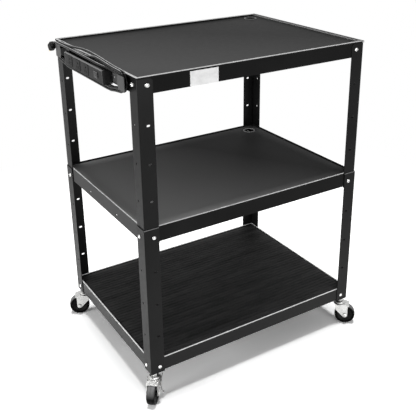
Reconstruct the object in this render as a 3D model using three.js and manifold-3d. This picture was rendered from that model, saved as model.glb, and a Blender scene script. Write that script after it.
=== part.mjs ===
// Audio visual cart: three steel tray shelves on four angle steel legs, with swivel casters,
// a ribbed mat and a power strip whose mains cord is wound round a wrap bracket.
// Millimetres, +Z up, origin on the floor under the middle of the cart.
// The front faces -Y, and the power strip is on the left side, which faces -X.

import * as THREE from 'three';
import { mergeVertices } from 'three/addons/utils/BufferGeometryUtils.js';
import Module from 'manifold-3d';

const wasm = await Module();
wasm.setup();

// Clearances

const gap = 0.3;               // between two pieces that rest on or face each other
const overrun = 5;             // how far a cutter runs past the sheet that it cuts
const bite = 0.5;              // how far pieces that are joined run into each other
const weldMerge = 1e-4;        // points nearer than this share one vertex

// Plan of the cart, over the lower legs

const cartWidth = 812.8;
const cartDepth = 609.6;

// Casters

const wheelDiameter = 75;
const wheelWidth = 28;
const tyreDepth = 10.5;
const tyreShoulder = 4;
const tyreCrown = 1;
const hubBossRadius = 9;
const hubWebThickness = 9;
const hubRimInset = 2;
const axleRadius = 4;
const axleRunning = 0.3;       // radial clearance of the hub on its axle
const axleHeadRadius = 7.5;
const axleHeadHeight = 4;
const axleOffset = 20;         // trail of the wheel behind the swivel axis
const forkSheet = 2.2;
const forkSideGap = 2.2;       // between the wheel and each side of the fork
const forkTipRadius = 9.5;
const forkLead = 16;           // how far the sides reach ahead of the swivel axis
const forkShoulderDrop = 21;   // from the crown's underside to where the leading edge slants
const hoodReach = 35;          // the hood's edge, from the swivel axis
const hoodDrop = 5;
const crownHeight = 46.5;      // from the axle to the top of the crown
const crownRadius = 22;
const crownDomeRadius = 15;
const crownRise = 2.5;
const crownBore = 6;
const raceGap = 0.4;
const raceRadius = 18.5;
const raceHeight = 6.1;
const raceStepRadius = 14;
const raceStepHeight = 2.4;
const hexAcrossFlats = 19;
const hexHeight = 14.2;
const stemRadius = 5.5;
const stemNutAcrossFlats = 17;
const stemNutHeight = 7;
const stemTail = 4;            // thread showing above the nut
const stemInset = 16;          // swivel axis from the outer faces of the leg
const footPlateThickness = 3;
const footPlateSize = 38;
const footPlateChamfer = 16;

// Swivel angles of the casters as they stand, from +X to the side where the wheel trails

const casterAngles = { front_left: 228, front_right: 318, rear_left: 158, rear_right: 42 };

// Brake lever of a front caster

const brakeSheet = 2;
const brakePinRadius = 3;
const brakePinLead = 6;        // ahead of the swivel axis
const brakePinDrop = 20;       // below the crown's top
const brakeArmLead = 32;       // the arm's upper end, ahead of the swivel axis
const brakeArmRise = 9;        // the arm's upper end above its pin
const brakeArmHalfWidth = 6;
const brakePedalReach = 11;    // how far the pedal stands out from the arm
const brakePedalDrop = 38;     // how far the pedal's outer edge hangs below its root
const brakePedalRoot = 4;      // the pedal's root below the pin
const brakePedalWidth = 7;

// Legs

const legFlange = 47.6;
const legSheet = 2;
const legBend = 3;
const legCornerRadius = 10;
const boltInset = 31;          // hole columns from the outer faces of the lower leg
const holePitch = 114.3;
const holesPerSection = 5;
const holeRadius = 3.3;
const slotLength = 11;
const bottomBoltLift = 22;     // lowest hole above the leg's foot
const lapTail = 22;            // upper leg below the middle screws
const lapHead = 29;            // lower leg above the middle screws

// Shelves

const shelfSheet = 1.2;
const skirtDepth = 50.8;
const skirtHem = 12;
const lipHeight = 6;
const lipWidth = 5;
const lipRadius = 2;
const rimRadius = 2.5;
const rimDrop = 5;             // outer wall of the top shelf's rim, over the leg tops
const trayCorner = 3;
const trayInnerCorner = 0.4;
const topBoltDrop = 25.4;      // screws below the rim, at each shelf
const middleBoltDrop = 31.8;
const bottomBoltDrop = 28.6;
const sideHoleRadius = 3.8;
const sideHoleSpread = 104;    // holes in the left skirt, from the middle of the side
const middleSideHoleDrop = 34.5;
const sightHoleSpread = 153.5; // open holes of the top left skirt, from the middle of the side

// Screws and nuts

const screwRadius = 2.8;
const screwSink = 0.2;         // the head's seat presses into the sheet
const screwHeadRadius = 6.2;
const screwHeadHeight = 3.8;
const screwCrownRadius = 3.6;
const screwTail = 2;           // thread showing past a loose nut
const screwCover = 1;          // closed end of a cap nut over the screw's tip
const nutAcrossFlats = 10;
const nutHeight = 5;

// Cable grommets

const grommetBore = 19;
const grommetWall = 2.2;
const grommetFlange = 25;
const grommetFlangeHeight = 1.5;
const grommetSkirt = 6;
const grommetBarb = 1.2;
const grommetInsetX = 58;      // from the right face of the cart
const grommetInsetY = 55;      // from the rear face of the cart

// Mat of the bottom shelf

const matMargin = 4;
const matThickness = 2.6;
const matRibHeight = 1.4;
const matRibPitch = 15;
const matRibTop = 6;
const matRibFoot = 9;

// Power strip

const stripLength = 286;
const stripHeight = 42.5;
const stripDepth = 31;
const stripWall = 2;
const stripBevel = 4;
const stripDrop = 31;          // middle of the strip below the rim
const capThickness = 3;
const capLip = 5;
const outletSize = 33;
const outletCorner = 3;
const outletFlange = 0.7;
const outletBody = 27;
const outletBodyDepth = 16;
const outletPitch = 63.5;
const outletShift = 35;        // middle outlet behind the middle of the strip
const bladeSpacing = 12.7;
const bladeSlotHeight = 8;
const bladeSlotWidth = 2.6;
const bladeSlotDepth = 11;
const groundRadius = 2.8;
const groundRise = 6;
const groundSides = 8;
const switchPlace = 101;       // switch ahead of the middle of the strip
const switchWidth = 25;
const switchHeight = 19;
const switchFlange = 1.6;
const switchDepth = 15;
const switchWall = 2.2;
const rockerGap = 0.5;
const rockerEndGap = 1.5;
const rockerRise = 2;
const rockerBack = 6;
const rockerTilt = 8;          // either way from the middle of its travel
const rockerSeat = 4;
const stripScrewHeadHeight = 2.6;

// Wrap bracket

const bracketSheet = 1.5;
const bracketBarHeight = 30;
const bracketNeckHeight = 23;
const earHeight = 42;
const earWidth = 42;
const earCorner = 2.5;
const earInner = 211;          // inner edge of the rear ear from the middle of the side
const frontEarLead = 12;       // how much further out the front ear is
const earSeat = 0.4;           // between the cord and the back of the ear
const neckSlant = 4;
const neckLength = 10;
const sightSlotLength = 12;

// Mains cord

const cordDiameter = 7;
const cordPitch = 8;           // between neighbouring turns
const cordRimGap = 0.6;        // between the cord and the shelf's rim
const turnRadius = 21;         // innermost turn
const turnPlace = 225;         // middle of each turn from the middle of the side
const hankRise = 5.4;          // middle of the hank above the middle of the strip
const topBulge = 10;
const innerTopBulge = 4.6;
const bottomBulge = 9.6;
const bulgeRamp = 72;
const reliefLength = 22;
const reliefCollar = 3.6;
const reliefRadius = 6.5;
const reliefTipRadius = 4.6;
const tailClearance = 1.5;     // of the tail over the top of the rear ear
const tailStart = 18;          // how far past the middle of the turns the tail starts to bend
const tailBend = 28;
const tailAngle = 32;          // slope of the plug below level
const plugReliefLength = 8;
const plugBodyLength = 24;
const plugWidth = 26;
const plugThickness = 21;
const plugCorner = 8.7;
const plugNeckLength = 6;      // of the relief's wide end, inside the body
const plugNeckRadius = 7;
const plugBladeLength = 16;
const plugBladeHeight = 6.3;
const plugBladeThickness = 1.5;
const plugPinRadius = 2.4;
const plugPinExtra = 2;
const plugPinDrop = 8;
const plugBladeShift = 2;      // of the blades and pin from the middle of the body

// Facets

const bendSteps = 2;
const roundSides = 20;
const smallSides = 8;
const holeSides = 8;
const boreSides = 12;
const loopSteps = { turn: 5, top: 8, bottom: 6 };
const leadSteps = 4;
const tailSteps = 3;
const gapSteps = 8;
const cordSides = 6;

// Places that follow from these sizes

const halfWidth = cartWidth / 2;
const halfDepth = cartDepth / 2;
const wheelRadius = wheelDiameter / 2;
const crownTop = wheelRadius + crownHeight;
const raceBottom = crownTop + raceGap;
const hexBottom = raceBottom + raceHeight;
const hexTop = hexBottom + hexHeight;
const legBottom = hexTop + gap;
const bottomBoltZ = legBottom + bottomBoltLift;
const middleBoltZ = bottomBoltZ + (holesPerSection - 1) * holePitch;
const topBoltZ = middleBoltZ + (holesPerSection - 1) * holePitch;
const cartHeight = topBoltZ + topBoltDrop;
const middleRimZ = middleBoltZ + middleBoltDrop;
const bottomRimZ = bottomBoltZ + bottomBoltDrop;
const lap = legSheet + gap;
const upperLegTop = cartHeight - rimDrop - shelfSheet - gap;
const innerSkirt = 2 * lap;
const stripMiddleZ = cartHeight - stripDrop;
const skirtFaceX = -halfWidth + innerSkirt;
const bracketFaceX = skirtFaceX - gap - bracketSheet;
const stripBackX = bracketFaceX - gap;
const stripFrontX = stripBackX - stripDepth;
const cordRadius = cordDiameter / 2;
const firstLayerX = -halfWidth - cordRimGap - cordRadius;
const earBackX = firstLayerX - cordPitch - cordRadius - earSeat;
const hankZ = stripMiddleZ + hankRise;
const forkInner = wheelWidth / 2 + forkSideGap;
const forkOuter = forkInner + forkSheet;

// Materials

function material(colour, roughness, metalness) {
  return new THREE.MeshStandardMaterial({ color: colour, roughness, metalness });
}

const blackPaint = () => material(0x262627, 0.5, 0.3);
const zinc = () => material(0xc9cacb, 0.3, 0.9);
const blackRubber = () => material(0x1b1b1b, 0.85, 0);
const blackPlastic = () => material(0x1e1e1f, 0.45, 0);
const greyPlastic = () => material(0x3a3a3b, 0.5, 0);
const brass = () => material(0xb9a36a, 0.35, 0.9);

// Solids

function keepRealTriangles(geometry) {
  const index = geometry.index.array;
  const kept = [];
  for (let i = 0; i < index.length; i += 3) {
    const [a, b, c] = [index[i], index[i + 1], index[i + 2]];
    if (a !== b && b !== c && c !== a) kept.push(a, b, c);
  }
  geometry.setIndex(kept);
  return geometry;
}

function toSolid(geometry) {
  const bare = new THREE.BufferGeometry();
  bare.setAttribute('position', geometry.getAttribute('position').clone());
  if (geometry.index) bare.setIndex(geometry.index.clone());
  const welded = keepRealTriangles(mergeVertices(bare, weldMerge));
  return new wasm.Manifold(new wasm.Mesh({
    numProp: 3,
    vertProperties: new Float32Array(welded.getAttribute('position').array),
    triVerts: new Uint32Array(welded.index.array),
  }));
}

function toGeometry(solid) {
  const mesh = solid.getMesh();
  const geometry = new THREE.BufferGeometry();
  geometry.setAttribute('position', new THREE.BufferAttribute(new Float32Array(mesh.vertProperties), 3));
  geometry.setIndex(new THREE.BufferAttribute(new Uint32Array(mesh.triVerts), 1));
  geometry.computeVertexNormals();
  return geometry;
}

function join(first, ...others) {
  return toGeometry(others.reduce((sum, item) => sum.add(toSolid(item)), toSolid(first)));
}

function cut(first, ...others) {
  return toGeometry(others.reduce((rest, item) => rest.subtract(toSolid(item)), toSolid(first)));
}

function common(first, second) {
  return toGeometry(toSolid(first).intersect(toSolid(second)));
}

function moved(geometry, x, y, z) {
  return geometry.clone().translate(x, y, z);
}

function turned(geometry, axis, degrees) {
  const angle = THREE.MathUtils.degToRad(degrees);
  return geometry.clone().applyMatrix4(new THREE.Matrix4().makeRotationAxis(axis, angle));
}

function mirrored(geometry, signX, signY) {
  const copy = mergeVertices(geometry.clone()).applyMatrix4(new THREE.Matrix4().makeScale(signX, signY, 1));
  if (signX * signY < 0) {
    const index = copy.index.array;
    for (let i = 0; i < index.length; i += 3) [index[i], index[i + 1]] = [index[i + 1], index[i]];
  }
  copy.computeVertexNormals();
  return copy;
}

const axisX = new THREE.Vector3(1, 0, 0);
const axisY = new THREE.Vector3(0, 1, 0);
const axisZ = new THREE.Vector3(0, 0, 1);

// Outlines

function roundedRectangle(width, height, radius) {
  const [x, y] = [width / 2, height / 2];
  const shape = new THREE.Shape();
  shape.moveTo(-x + radius, -y);
  shape.lineTo(x - radius, -y);
  shape.absarc(x - radius, -y + radius, radius, -Math.PI / 2, 0);
  shape.lineTo(x, y - radius);
  shape.absarc(x - radius, y - radius, radius, 0, Math.PI / 2);
  shape.lineTo(-x + radius, y);
  shape.absarc(-x + radius, y - radius, radius, Math.PI / 2, Math.PI);
  shape.lineTo(-x, -y + radius);
  shape.absarc(-x + radius, -y + radius, radius, Math.PI, 1.5 * Math.PI);
  return shape;
}

function polygonShape(points) {
  return new THREE.Shape(points.map(([x, y]) => new THREE.Vector2(x, y)));
}

function hexagon(acrossFlats) {
  const radius = acrossFlats / Math.sqrt(3);
  const corners = [0, 1, 2, 3, 4, 5].map((i) => (i * Math.PI) / 3);
  return polygonShape(corners.map((angle) => [radius * Math.cos(angle), radius * Math.sin(angle)]));
}

function circlePath(radius, sides) {
  const points = [];
  for (let i = 0; i < sides; i += 1) {
    const angle = -(i * 2 * Math.PI) / sides;
    points.push(new THREE.Vector2(radius * Math.cos(angle), radius * Math.sin(angle)));
  }
  return new THREE.Path(points);
}

function extrude(shape, depth, curveSegments = bendSteps) {
  return new THREE.ExtrudeGeometry(shape, { depth, bevelEnabled: false, curveSegments, steps: 1 });
}

// An outline drawn in X and Z, drawn out along Y, centred on Y = 0
function extrudeAcross(shape, width, curveSegments = bendSteps) {
  return turned(extrude(shape, width, curveSegments), axisX, 90).translate(0, width / 2, 0);
}

// An outline drawn in Y and Z, drawn out from X = x towards +X
function extrudeSideways(shape, x, depth, curveSegments = bendSteps) {
  const standing = turned(extrude(shape, depth, curveSegments), axisX, 90);
  return turned(standing, axisZ, 90).translate(x, 0, 0);
}

// A turned body about the Z axis from a closed or axis to axis outline of [radius, z]
function turnedBody(points, sides) {
  const outline = points.map(([r, z]) => new THREE.Vector2(r, z));
  return turned(new THREE.LatheGeometry(outline, sides), axisX, 90);
}

function rod(radius, length, sides) {
  return turned(new THREE.CylinderGeometry(radius, radius, length, sides), axisX, 90);
}

function block(x0, x1, y0, y1, z0, z1) {
  const box = new THREE.BoxGeometry(x1 - x0, y1 - y0, z1 - z0);
  return box.translate((x0 + x1) / 2, (y0 + y1) / 2, (z0 + z1) / 2);
}

// A round cutter whose axis lies along X or Y
function roundCutter(radius, length, axis, x, y, z) {
  const standing = rod(radius, length, holeSides);
  return moved(turned(standing, axis === 'x' ? axisY : axisX, 90), x, y, z);
}

function slotCutter(length, height, depth, axis, x, y, z) {
  const shape = roundedRectangle(length, height, height / 2);
  const flat = extrude(shape, depth).translate(0, 0, -depth / 2);
  const standing = turned(flat, axisX, 90);
  return moved(axis === 'x' ? turned(standing, axisZ, 90) : standing, x, y, z);
}

// Tray shelves: one pressed sheet with a folded lip and a hemmed skirt

function quarter(centreU, centreZ, radius, from, steps) {
  const points = [];
  for (let i = 0; i <= steps; i += 1) {
    const angle = from + ((i / steps) * Math.PI) / 2;
    points.push([centreU - radius * Math.cos(angle), centreZ + radius * Math.sin(angle)]);
  }
  return points;
}

// Section of the edge: [inset from the outer face, height from the rim]
function plainEdge(depth) {
  const t = shelfSheet;
  return [
    [0, -depth],
    ...quarter(lipRadius, -lipRadius, lipRadius, 0, 2),
    ...quarter(lipWidth - lipRadius, -lipRadius, lipRadius, Math.PI / 2, 2),
    [lipWidth, -lipHeight],
    [lipWidth + skirtHem, -lipHeight],
    [lipWidth + skirtHem, -lipHeight - t],
    [lipWidth - t, -lipHeight - t],
    [lipWidth - t, -lipRadius],
    [lipWidth - lipRadius, -t],
    [lipRadius, -t],
    [t, -lipRadius],
    [t, -depth + t],
    [skirtHem, -depth + t],
    [skirtHem, -depth],
  ];
}

// The top shelf's rim stands out over the leg tops and steps back to the skirt
function coveringEdge() {
  const t = shelfSheet;
  const skirt = innerSkirt;
  const inner = skirt + lipWidth - lipRadius;
  return [
    [skirt, -skirtDepth],
    [skirt, -rimDrop - t],
    [0, -rimDrop - t],
    ...quarter(rimRadius, -rimRadius, rimRadius, 0, 2),
    ...quarter(inner + t - rimRadius, -rimRadius, rimRadius, Math.PI / 2, 2),
    [inner + t, -lipHeight],
    [inner + t + skirtHem, -lipHeight],
    [inner + t + skirtHem, -lipHeight - t],
    [inner, -lipHeight - t],
    [inner, -rimRadius],
    [inner + t - rimRadius, -t],
    [rimRadius, -t],
    [t, -rimRadius],
    [t, -rimDrop],
    [skirt + t, -rimDrop],
    [skirt + t, -skirtDepth + t],
    [skirt + skirtHem, -skirtDepth + t],
    [skirt + skirtHem, -skirtDepth],
  ];
}

// Stations round a rectangle with rounded corners, at one inset
function cornerStations(halfX, halfY, inset) {
  const radius = Math.max(trayCorner - inset, trayInnerCorner);
  const stations = [];
  [[1, 1], [-1, 1], [-1, -1], [1, -1]].forEach(([signX, signY], corner) => {
    for (let i = 0; i <= bendSteps; i += 1) {
      const angle = (corner + i / bendSteps) * (Math.PI / 2);
      stations.push([
        signX * (halfX - inset - radius) + radius * Math.cos(angle),
        signY * (halfY - inset - radius) + radius * Math.sin(angle),
      ]);
    }
  });
  return stations;
}

function sweptEdge(section, halfX, halfY) {
  const rings = section.map(([inset]) => cornerStations(halfX, halfY, inset));
  const stationCount = rings[0].length;
  const sectionCount = section.length;
  const positions = [];
  for (let s = 0; s < stationCount; s += 1) {
    section.forEach(([, z], j) => positions.push(rings[j][s][0], rings[j][s][1], z));
  }
  const index = [];
  for (let s = 0; s < stationCount; s += 1) {
    const next = (s + 1) % stationCount;
    for (let j = 0; j < sectionCount; j += 1) {
      const k = (j + 1) % sectionCount;
      const [a, b] = [s * sectionCount + j, s * sectionCount + k];
      const [c, d] = [next * sectionCount + k, next * sectionCount + j];
      index.push(a, d, c, a, c, b);
    }
  }
  const geometry = new THREE.BufferGeometry();
  geometry.setAttribute('position', new THREE.Float32BufferAttribute(positions, 3));
  geometry.setIndex(index);
  return geometry;
}

function shelfScrewHoles(boltZ) {
  const length = 2 * (innerSkirt + overrun);
  const cutters = [];
  [-1, 1].forEach((signX) => [-1, 1].forEach((signY) => {
    const [x, y] = [signX * (halfWidth - boltInset), signY * (halfDepth - boltInset)];
    cutters.push(roundCutter(holeRadius, length, 'y', x, signY * halfDepth, boltZ));
    cutters.push(roundCutter(holeRadius, length, 'x', signX * halfWidth, y, boltZ));
  }));
  return cutters;
}

function trayShelf(section, inset, rimZ, boltZ, extraCutters) {
  const [halfX, halfY] = [halfWidth - inset, halfDepth - inset];
  const edge = sweptEdge(section, halfX, halfY);
  const inner = Math.max(...section.map(([u]) => u)) - skirtHem / 2;
  const panel = block(
    -halfX + inner, halfX - inner, -halfY + inner, halfY - inner, -lipHeight - shelfSheet, -lipHeight,
  );
  const tray = moved(join(edge, panel), 0, 0, rimZ);
  return cut(tray, ...shelfScrewHoles(boltZ), ...extraCutters);
}

const grommetX = halfWidth - grommetInsetX;
const grommetY = halfDepth - grommetInsetY;

function grommetCutter(rimZ) {
  const radius = grommetBore + grommetWall + gap;
  return moved(rod(radius, 2 * (lipHeight + overrun), roundSides), grommetX, grommetY, rimZ);
}

function grommet(rimZ) {
  const [wall, flange] = [grommetBore + grommetWall, grommetFlange];
  const under = -shelfSheet - 2 * gap;
  const section = [
    [grommetBore, gap + grommetFlangeHeight],
    [grommetBore, -grommetSkirt],
    [wall - grommetWall / 2, -grommetSkirt],
    [wall + grommetBarb, under],
    [wall, under],
    [wall, gap],
    [flange, gap],
    [flange - grommetFlangeHeight, gap + grommetFlangeHeight],
    [grommetBore, gap + grommetFlangeHeight],
  ];
  return moved(turnedBody(section, roundSides), grommetX, grommetY, rimZ - lipHeight);
}

function sideHole(spread, z, radius) {
  return roundCutter(radius, 2 * overrun, 'x', skirtFaceX, spread, z);
}

function topShelf() {
  const stripScrewHoles = [-1, 1].map((s) => sideHole(s * sideHoleSpread, stripMiddleZ, holeRadius));
  const sightHoles = [-1, 1].map((s) => sideHole(s * sightHoleSpread, stripMiddleZ, sideHoleRadius));
  const extra = [...stripScrewHoles, ...sightHoles, grommetCutter(cartHeight)];
  return trayShelf(coveringEdge(), 0, cartHeight, topBoltZ, extra);
}

function middleShelf() {
  const z = middleRimZ - middleSideHoleDrop;
  const holes = [-1, 1].map((s) => sideHole(s * sideHoleSpread, z, sideHoleRadius));
  const extra = [...holes, grommetCutter(middleRimZ)];
  return trayShelf(plainEdge(skirtDepth), innerSkirt, middleRimZ, middleBoltZ, extra);
}

// The bottom skirt ends over the foot plates, and its hem is notched for the nuts of the caster stems
function bottomShelf() {
  const depth = bottomRimZ - legBottom - footPlateThickness - gap;
  const [x, y] = [halfWidth - stemInset, halfDepth - stemInset];
  const notch = rod(stemNutAcrossFlats / Math.sqrt(3) + gap, 2 * overrun, boreSides);
  const notches = [[-1, -1], [1, -1], [-1, 1], [1, 1]].map(([signX, signY]) => (
    moved(notch, signX * x, signY * y, bottomRimZ - depth)
  ));
  return trayShelf(plainEdge(depth), lap, bottomRimZ, bottomBoltZ, notches);
}

// Mat with ribs along the length of the cart

function ribbedMat() {
  const margin = lap + lipWidth + matMargin;
  const length = cartWidth - 2 * margin;
  const depth = cartDepth - 2 * margin;
  const ribs = Math.floor((depth - matRibFoot) / matRibPitch);
  const start = -((ribs - 1) * matRibPitch) / 2;
  const outline = [[depth / 2, matThickness], [depth / 2, 0], [-depth / 2, 0], [-depth / 2, matThickness]];
  for (let i = 0; i < ribs; i += 1) {
    const middle = start + i * matRibPitch;
    outline.push([middle - matRibFoot / 2, matThickness]);
    outline.push([middle - matRibTop / 2, matThickness + matRibHeight]);
    outline.push([middle + matRibTop / 2, matThickness + matRibHeight]);
    outline.push([middle + matRibFoot / 2, matThickness]);
  }
  const mat = extrudeSideways(polygonShape(outline), -length / 2, length);
  return moved(mat, 0, 0, bottomRimZ - lipHeight + gap);
}

// Pan head screws and nuts, drawn along +Z with the seat of the head at the origin

function panScrew(length, headHeight) {
  return turnedBody([
    [0, -length],
    [screwRadius, -length],
    [screwRadius, 0],
    [screwHeadRadius, 0],
    [screwCrownRadius, headHeight],
    [0, headHeight],
  ], smallSides);
}

function hexNut(acrossFlats, height, boreRadius) {
  const shape = hexagon(acrossFlats);
  shape.holes.push(circlePath(boreRadius, boreSides));
  return extrude(shape, height);
}

// Legs: angle steel with its corner at the origin and its flanges along +X and +Y

function angleSection() {
  const shape = new THREE.Shape();
  shape.moveTo(legFlange, 0);
  shape.lineTo(legFlange, legSheet);
  shape.lineTo(legSheet, legSheet);
  shape.lineTo(legSheet, legFlange);
  shape.lineTo(0, legFlange);
  shape.lineTo(0, legBend);
  shape.absarc(legBend, legBend, legBend, Math.PI, 1.5 * Math.PI);
  return shape;
}

// Cuts the free upper corner of a flange round: drawn in X and Z with the corner at the origin
function cornerCutter() {
  const r = legCornerRadius;
  const shape = new THREE.Shape();
  shape.moveTo(-r, 0);
  shape.absarc(-r, -r, r, Math.PI / 2, 0, true);
  shape.lineTo(overrun, -r);
  shape.lineTo(overrun, overrun);
  shape.lineTo(-r, overrun);
  return extrudeAcross(shape, 2 * overrun);
}

function angleLeg(bottomZ, topZ, holeHeights, column) {
  const cutters = holeHeights.flatMap((z) => [
    slotCutter(slotLength, 2 * holeRadius, 2 * overrun, 'y', column, 0, z),
    roundCutter(holeRadius, 2 * overrun, 'x', 0, column, z),
  ]);
  const angle = moved(extrude(angleSection(), topZ - bottomZ), 0, 0, bottomZ);
  return cut(angle, ...cutters);
}

// The two screws and nuts that clamp a shelf to a leg: layers is the number of leg sheets under the heads
function clampScrews(z, column, layers) {
  const nutSeat = layers * lap + shelfSheet + gap;
  const screw = moved(panScrew(nutSeat + nutHeight - screwCover, screwHeadHeight), 0, 0, -screwSink);
  const nut = moved(extrude(hexagon(nutAcrossFlats), nutHeight), 0, 0, -nutSeat - nutHeight);
  const fastener = join(screw, nut);
  return [
    moved(turned(fastener, axisX, 90), column, 0, z),
    moved(turned(fastener, axisY, -90), 0, column, z),
  ];
}

function holeRow(lowestZ, first, last) {
  return Array.from({ length: last - first + 1 }, (_, i) => lowestZ + (first + i) * holePitch);
}

function upperLeg() {
  const column = boltInset - lap;
  const holes = holeRow(middleBoltZ, 0, holesPerSection - 2);
  const leg = angleLeg(middleBoltZ - lapTail, upperLegTop, holes, column);
  const frontCorner = moved(cornerCutter(), legFlange, 0, upperLegTop);
  const sideCorner = moved(turned(cornerCutter(), axisZ, 90), 0, legFlange, upperLegTop);
  return join(cut(leg, frontCorner, sideCorner), ...clampScrews(topBoltZ, column, 1));
}

function footPlate() {
  const [near, far] = [legSheet / 2, footPlateSize];
  const shape = polygonShape([
    [near, near], [far, near], [far, far - footPlateChamfer], [far - footPlateChamfer, far], [near, far],
  ]);
  shape.holes.push(new THREE.Path(
    circlePath(stemRadius + gap, boreSides).getPoints()
      .map((point) => new THREE.Vector2(point.x + stemInset, point.y + stemInset)),
  ));
  return moved(extrude(shape, footPlateThickness), 0, 0, legBottom);
}

function lowerLeg() {
  const holes = holeRow(bottomBoltZ, 1, holesPerSection - 2);
  const leg = angleLeg(legBottom, middleBoltZ + lapHead, holes, boltInset);
  const screws = [...clampScrews(bottomBoltZ, boltInset, 1), ...clampScrews(middleBoltZ, boltInset, 2)];
  return join(leg, footPlate(), ...screws);
}

// Casters, drawn with the swivel axis on Z, the wheel trailing along +X and the floor at Z = 0

function tyre() {
  const half = wheelWidth / 2;
  const inner = wheelRadius - tyreDepth;
  const shoulder = wheelRadius - tyreCrown;
  const section = [
    [inner, -half],
    [wheelRadius - tyreShoulder, -half],
    [shoulder, -half + tyreShoulder],
    [wheelRadius, 0],
    [shoulder, half - tyreShoulder],
    [wheelRadius - tyreShoulder, half],
    [inner, half],
    [inner, -half],
  ];
  return moved(turned(turnedBody(section, roundSides), axisX, 90), axleOffset, 0, wheelRadius);
}

function hub() {
  const half = wheelWidth / 2;
  const bore = axleRadius + axleRunning;
  const outer = wheelRadius - tyreDepth - gap;
  const rimHalf = half - hubRimInset;
  const web = hubWebThickness / 2;
  const section = [
    [bore, -half], [hubBossRadius, -half], [hubBossRadius, -web], [outer, -rimHalf], [outer, rimHalf],
    [hubBossRadius, web], [hubBossRadius, half], [bore, half], [bore, -half],
  ];
  return moved(turned(turnedBody(section, roundSides), axisX, 90), axleOffset, 0, wheelRadius);
}

function axle() {
  const reach = forkOuter + gap;
  const head = axleHeadHeight;
  const section = [
    [0, -reach - head],
    [axleHeadRadius / 2, -reach - head],
    [axleHeadRadius, -reach - head / 2],
    [axleHeadRadius, -reach],
    [axleRadius, -reach],
    [axleRadius, reach],
    [axleHeadRadius, reach],
    [axleHeadRadius, reach + head / 2],
    [axleHeadRadius / 2, reach + head],
    [0, reach + head],
  ];
  return moved(turned(turnedBody(section, smallSides), axisX, 90), axleOffset, 0, wheelRadius);
}

// One side of the fork, in X and Z: a plate that tapers from the crown to the round tip at the axle
function forkSideOutline() {
  const top = crownTop - crownRise;
  const shoulder = top - forkShoulderDrop;
  const away = new THREE.Vector2(-forkLead - axleOffset, shoulder - wheelRadius);
  const slant = Math.atan2(away.y, away.x) + Math.acos(forkTipRadius / away.length());
  const shape = new THREE.Shape();
  shape.moveTo(-forkLead, top);
  shape.lineTo(-forkLead, shoulder);
  shape.absarc(axleOffset, wheelRadius, forkTipRadius, slant, 2 * Math.PI);
  shape.lineTo(axleOffset + forkTipRadius, top - hoodDrop);
  shape.lineTo(axleOffset, top);
  return shape;
}

// The crown's sheet and the hood that slopes down over the tyre, in X and Z
function hoodOutline() {
  const top = crownTop - crownRise;
  const bend = axleOffset - forkSheet;
  return polygonShape([
    [-forkLead, top - forkSheet],
    [bend, top - forkSheet],
    [hoodReach - forkSheet / 2, top - hoodDrop - forkSheet],
    [hoodReach, top - hoodDrop],
    [bend + forkSheet / 2, top],
    [-forkLead, top],
  ]);
}

function forkCrown() {
  const top = crownTop;
  const foot = top - crownRise - forkSheet;
  return turnedBody([
    [crownBore, foot],
    [crownRadius, foot],
    [crownRadius, top - crownRise],
    [crownDomeRadius, top],
    [crownBore, top],
    [crownBore, foot],
  ], roundSides);
}

function fork() {
  const side = extrudeAcross(forkSideOutline(), forkSheet, 2 * bendSteps);
  const offset = (forkInner + forkOuter) / 2;
  const sides = [-1, 1].map((s) => moved(side, 0, s * offset, 0));
  const hood = extrudeAcross(hoodOutline(), 2 * forkOuter);
  const axleBore = turned(rod(axleRadius + gap, 2 * (forkOuter + overrun), boreSides), axisX, 90);
  const bore = moved(rod(crownBore, 2 * crownRise + 2 * overrun, roundSides), 0, 0, crownTop);
  return cut(join(hood, ...sides, forkCrown()), moved(axleBore, axleOffset, 0, wheelRadius), bore);
}

function casterStem() {
  const cap = turnedBody([
    [0, raceBottom], [raceRadius, raceBottom], [raceRadius, hexBottom - raceStepHeight],
    [raceStepRadius, hexBottom], [0, hexBottom],
  ], roundSides);
  const pinLength = crownRise + forkSheet;
  const kingpin = moved(rod(crownBore - gap, pinLength, boreSides), 0, 0, raceBottom - pinLength / 2 + bite);
  const stemTop = legBottom + footPlateThickness + gap + stemNutHeight + stemTail;
  const stem = rod(stemRadius, stemTop - hexBottom, boreSides);
  const hex = moved(extrude(hexagon(hexAcrossFlats), hexHeight + bite), 0, 0, hexBottom - bite);
  return join(cap, kingpin, hex, moved(stem, 0, 0, (hexBottom + stemTop) / 2));
}

function stemNut() {
  const z = legBottom + footPlateThickness + gap;
  return moved(hexNut(stemNutAcrossFlats, stemNutHeight, stemRadius + 2 * gap), 0, 0, z);
}

// Brake lever on the side of the fork, with a pedal that curves outwards and down

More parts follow.
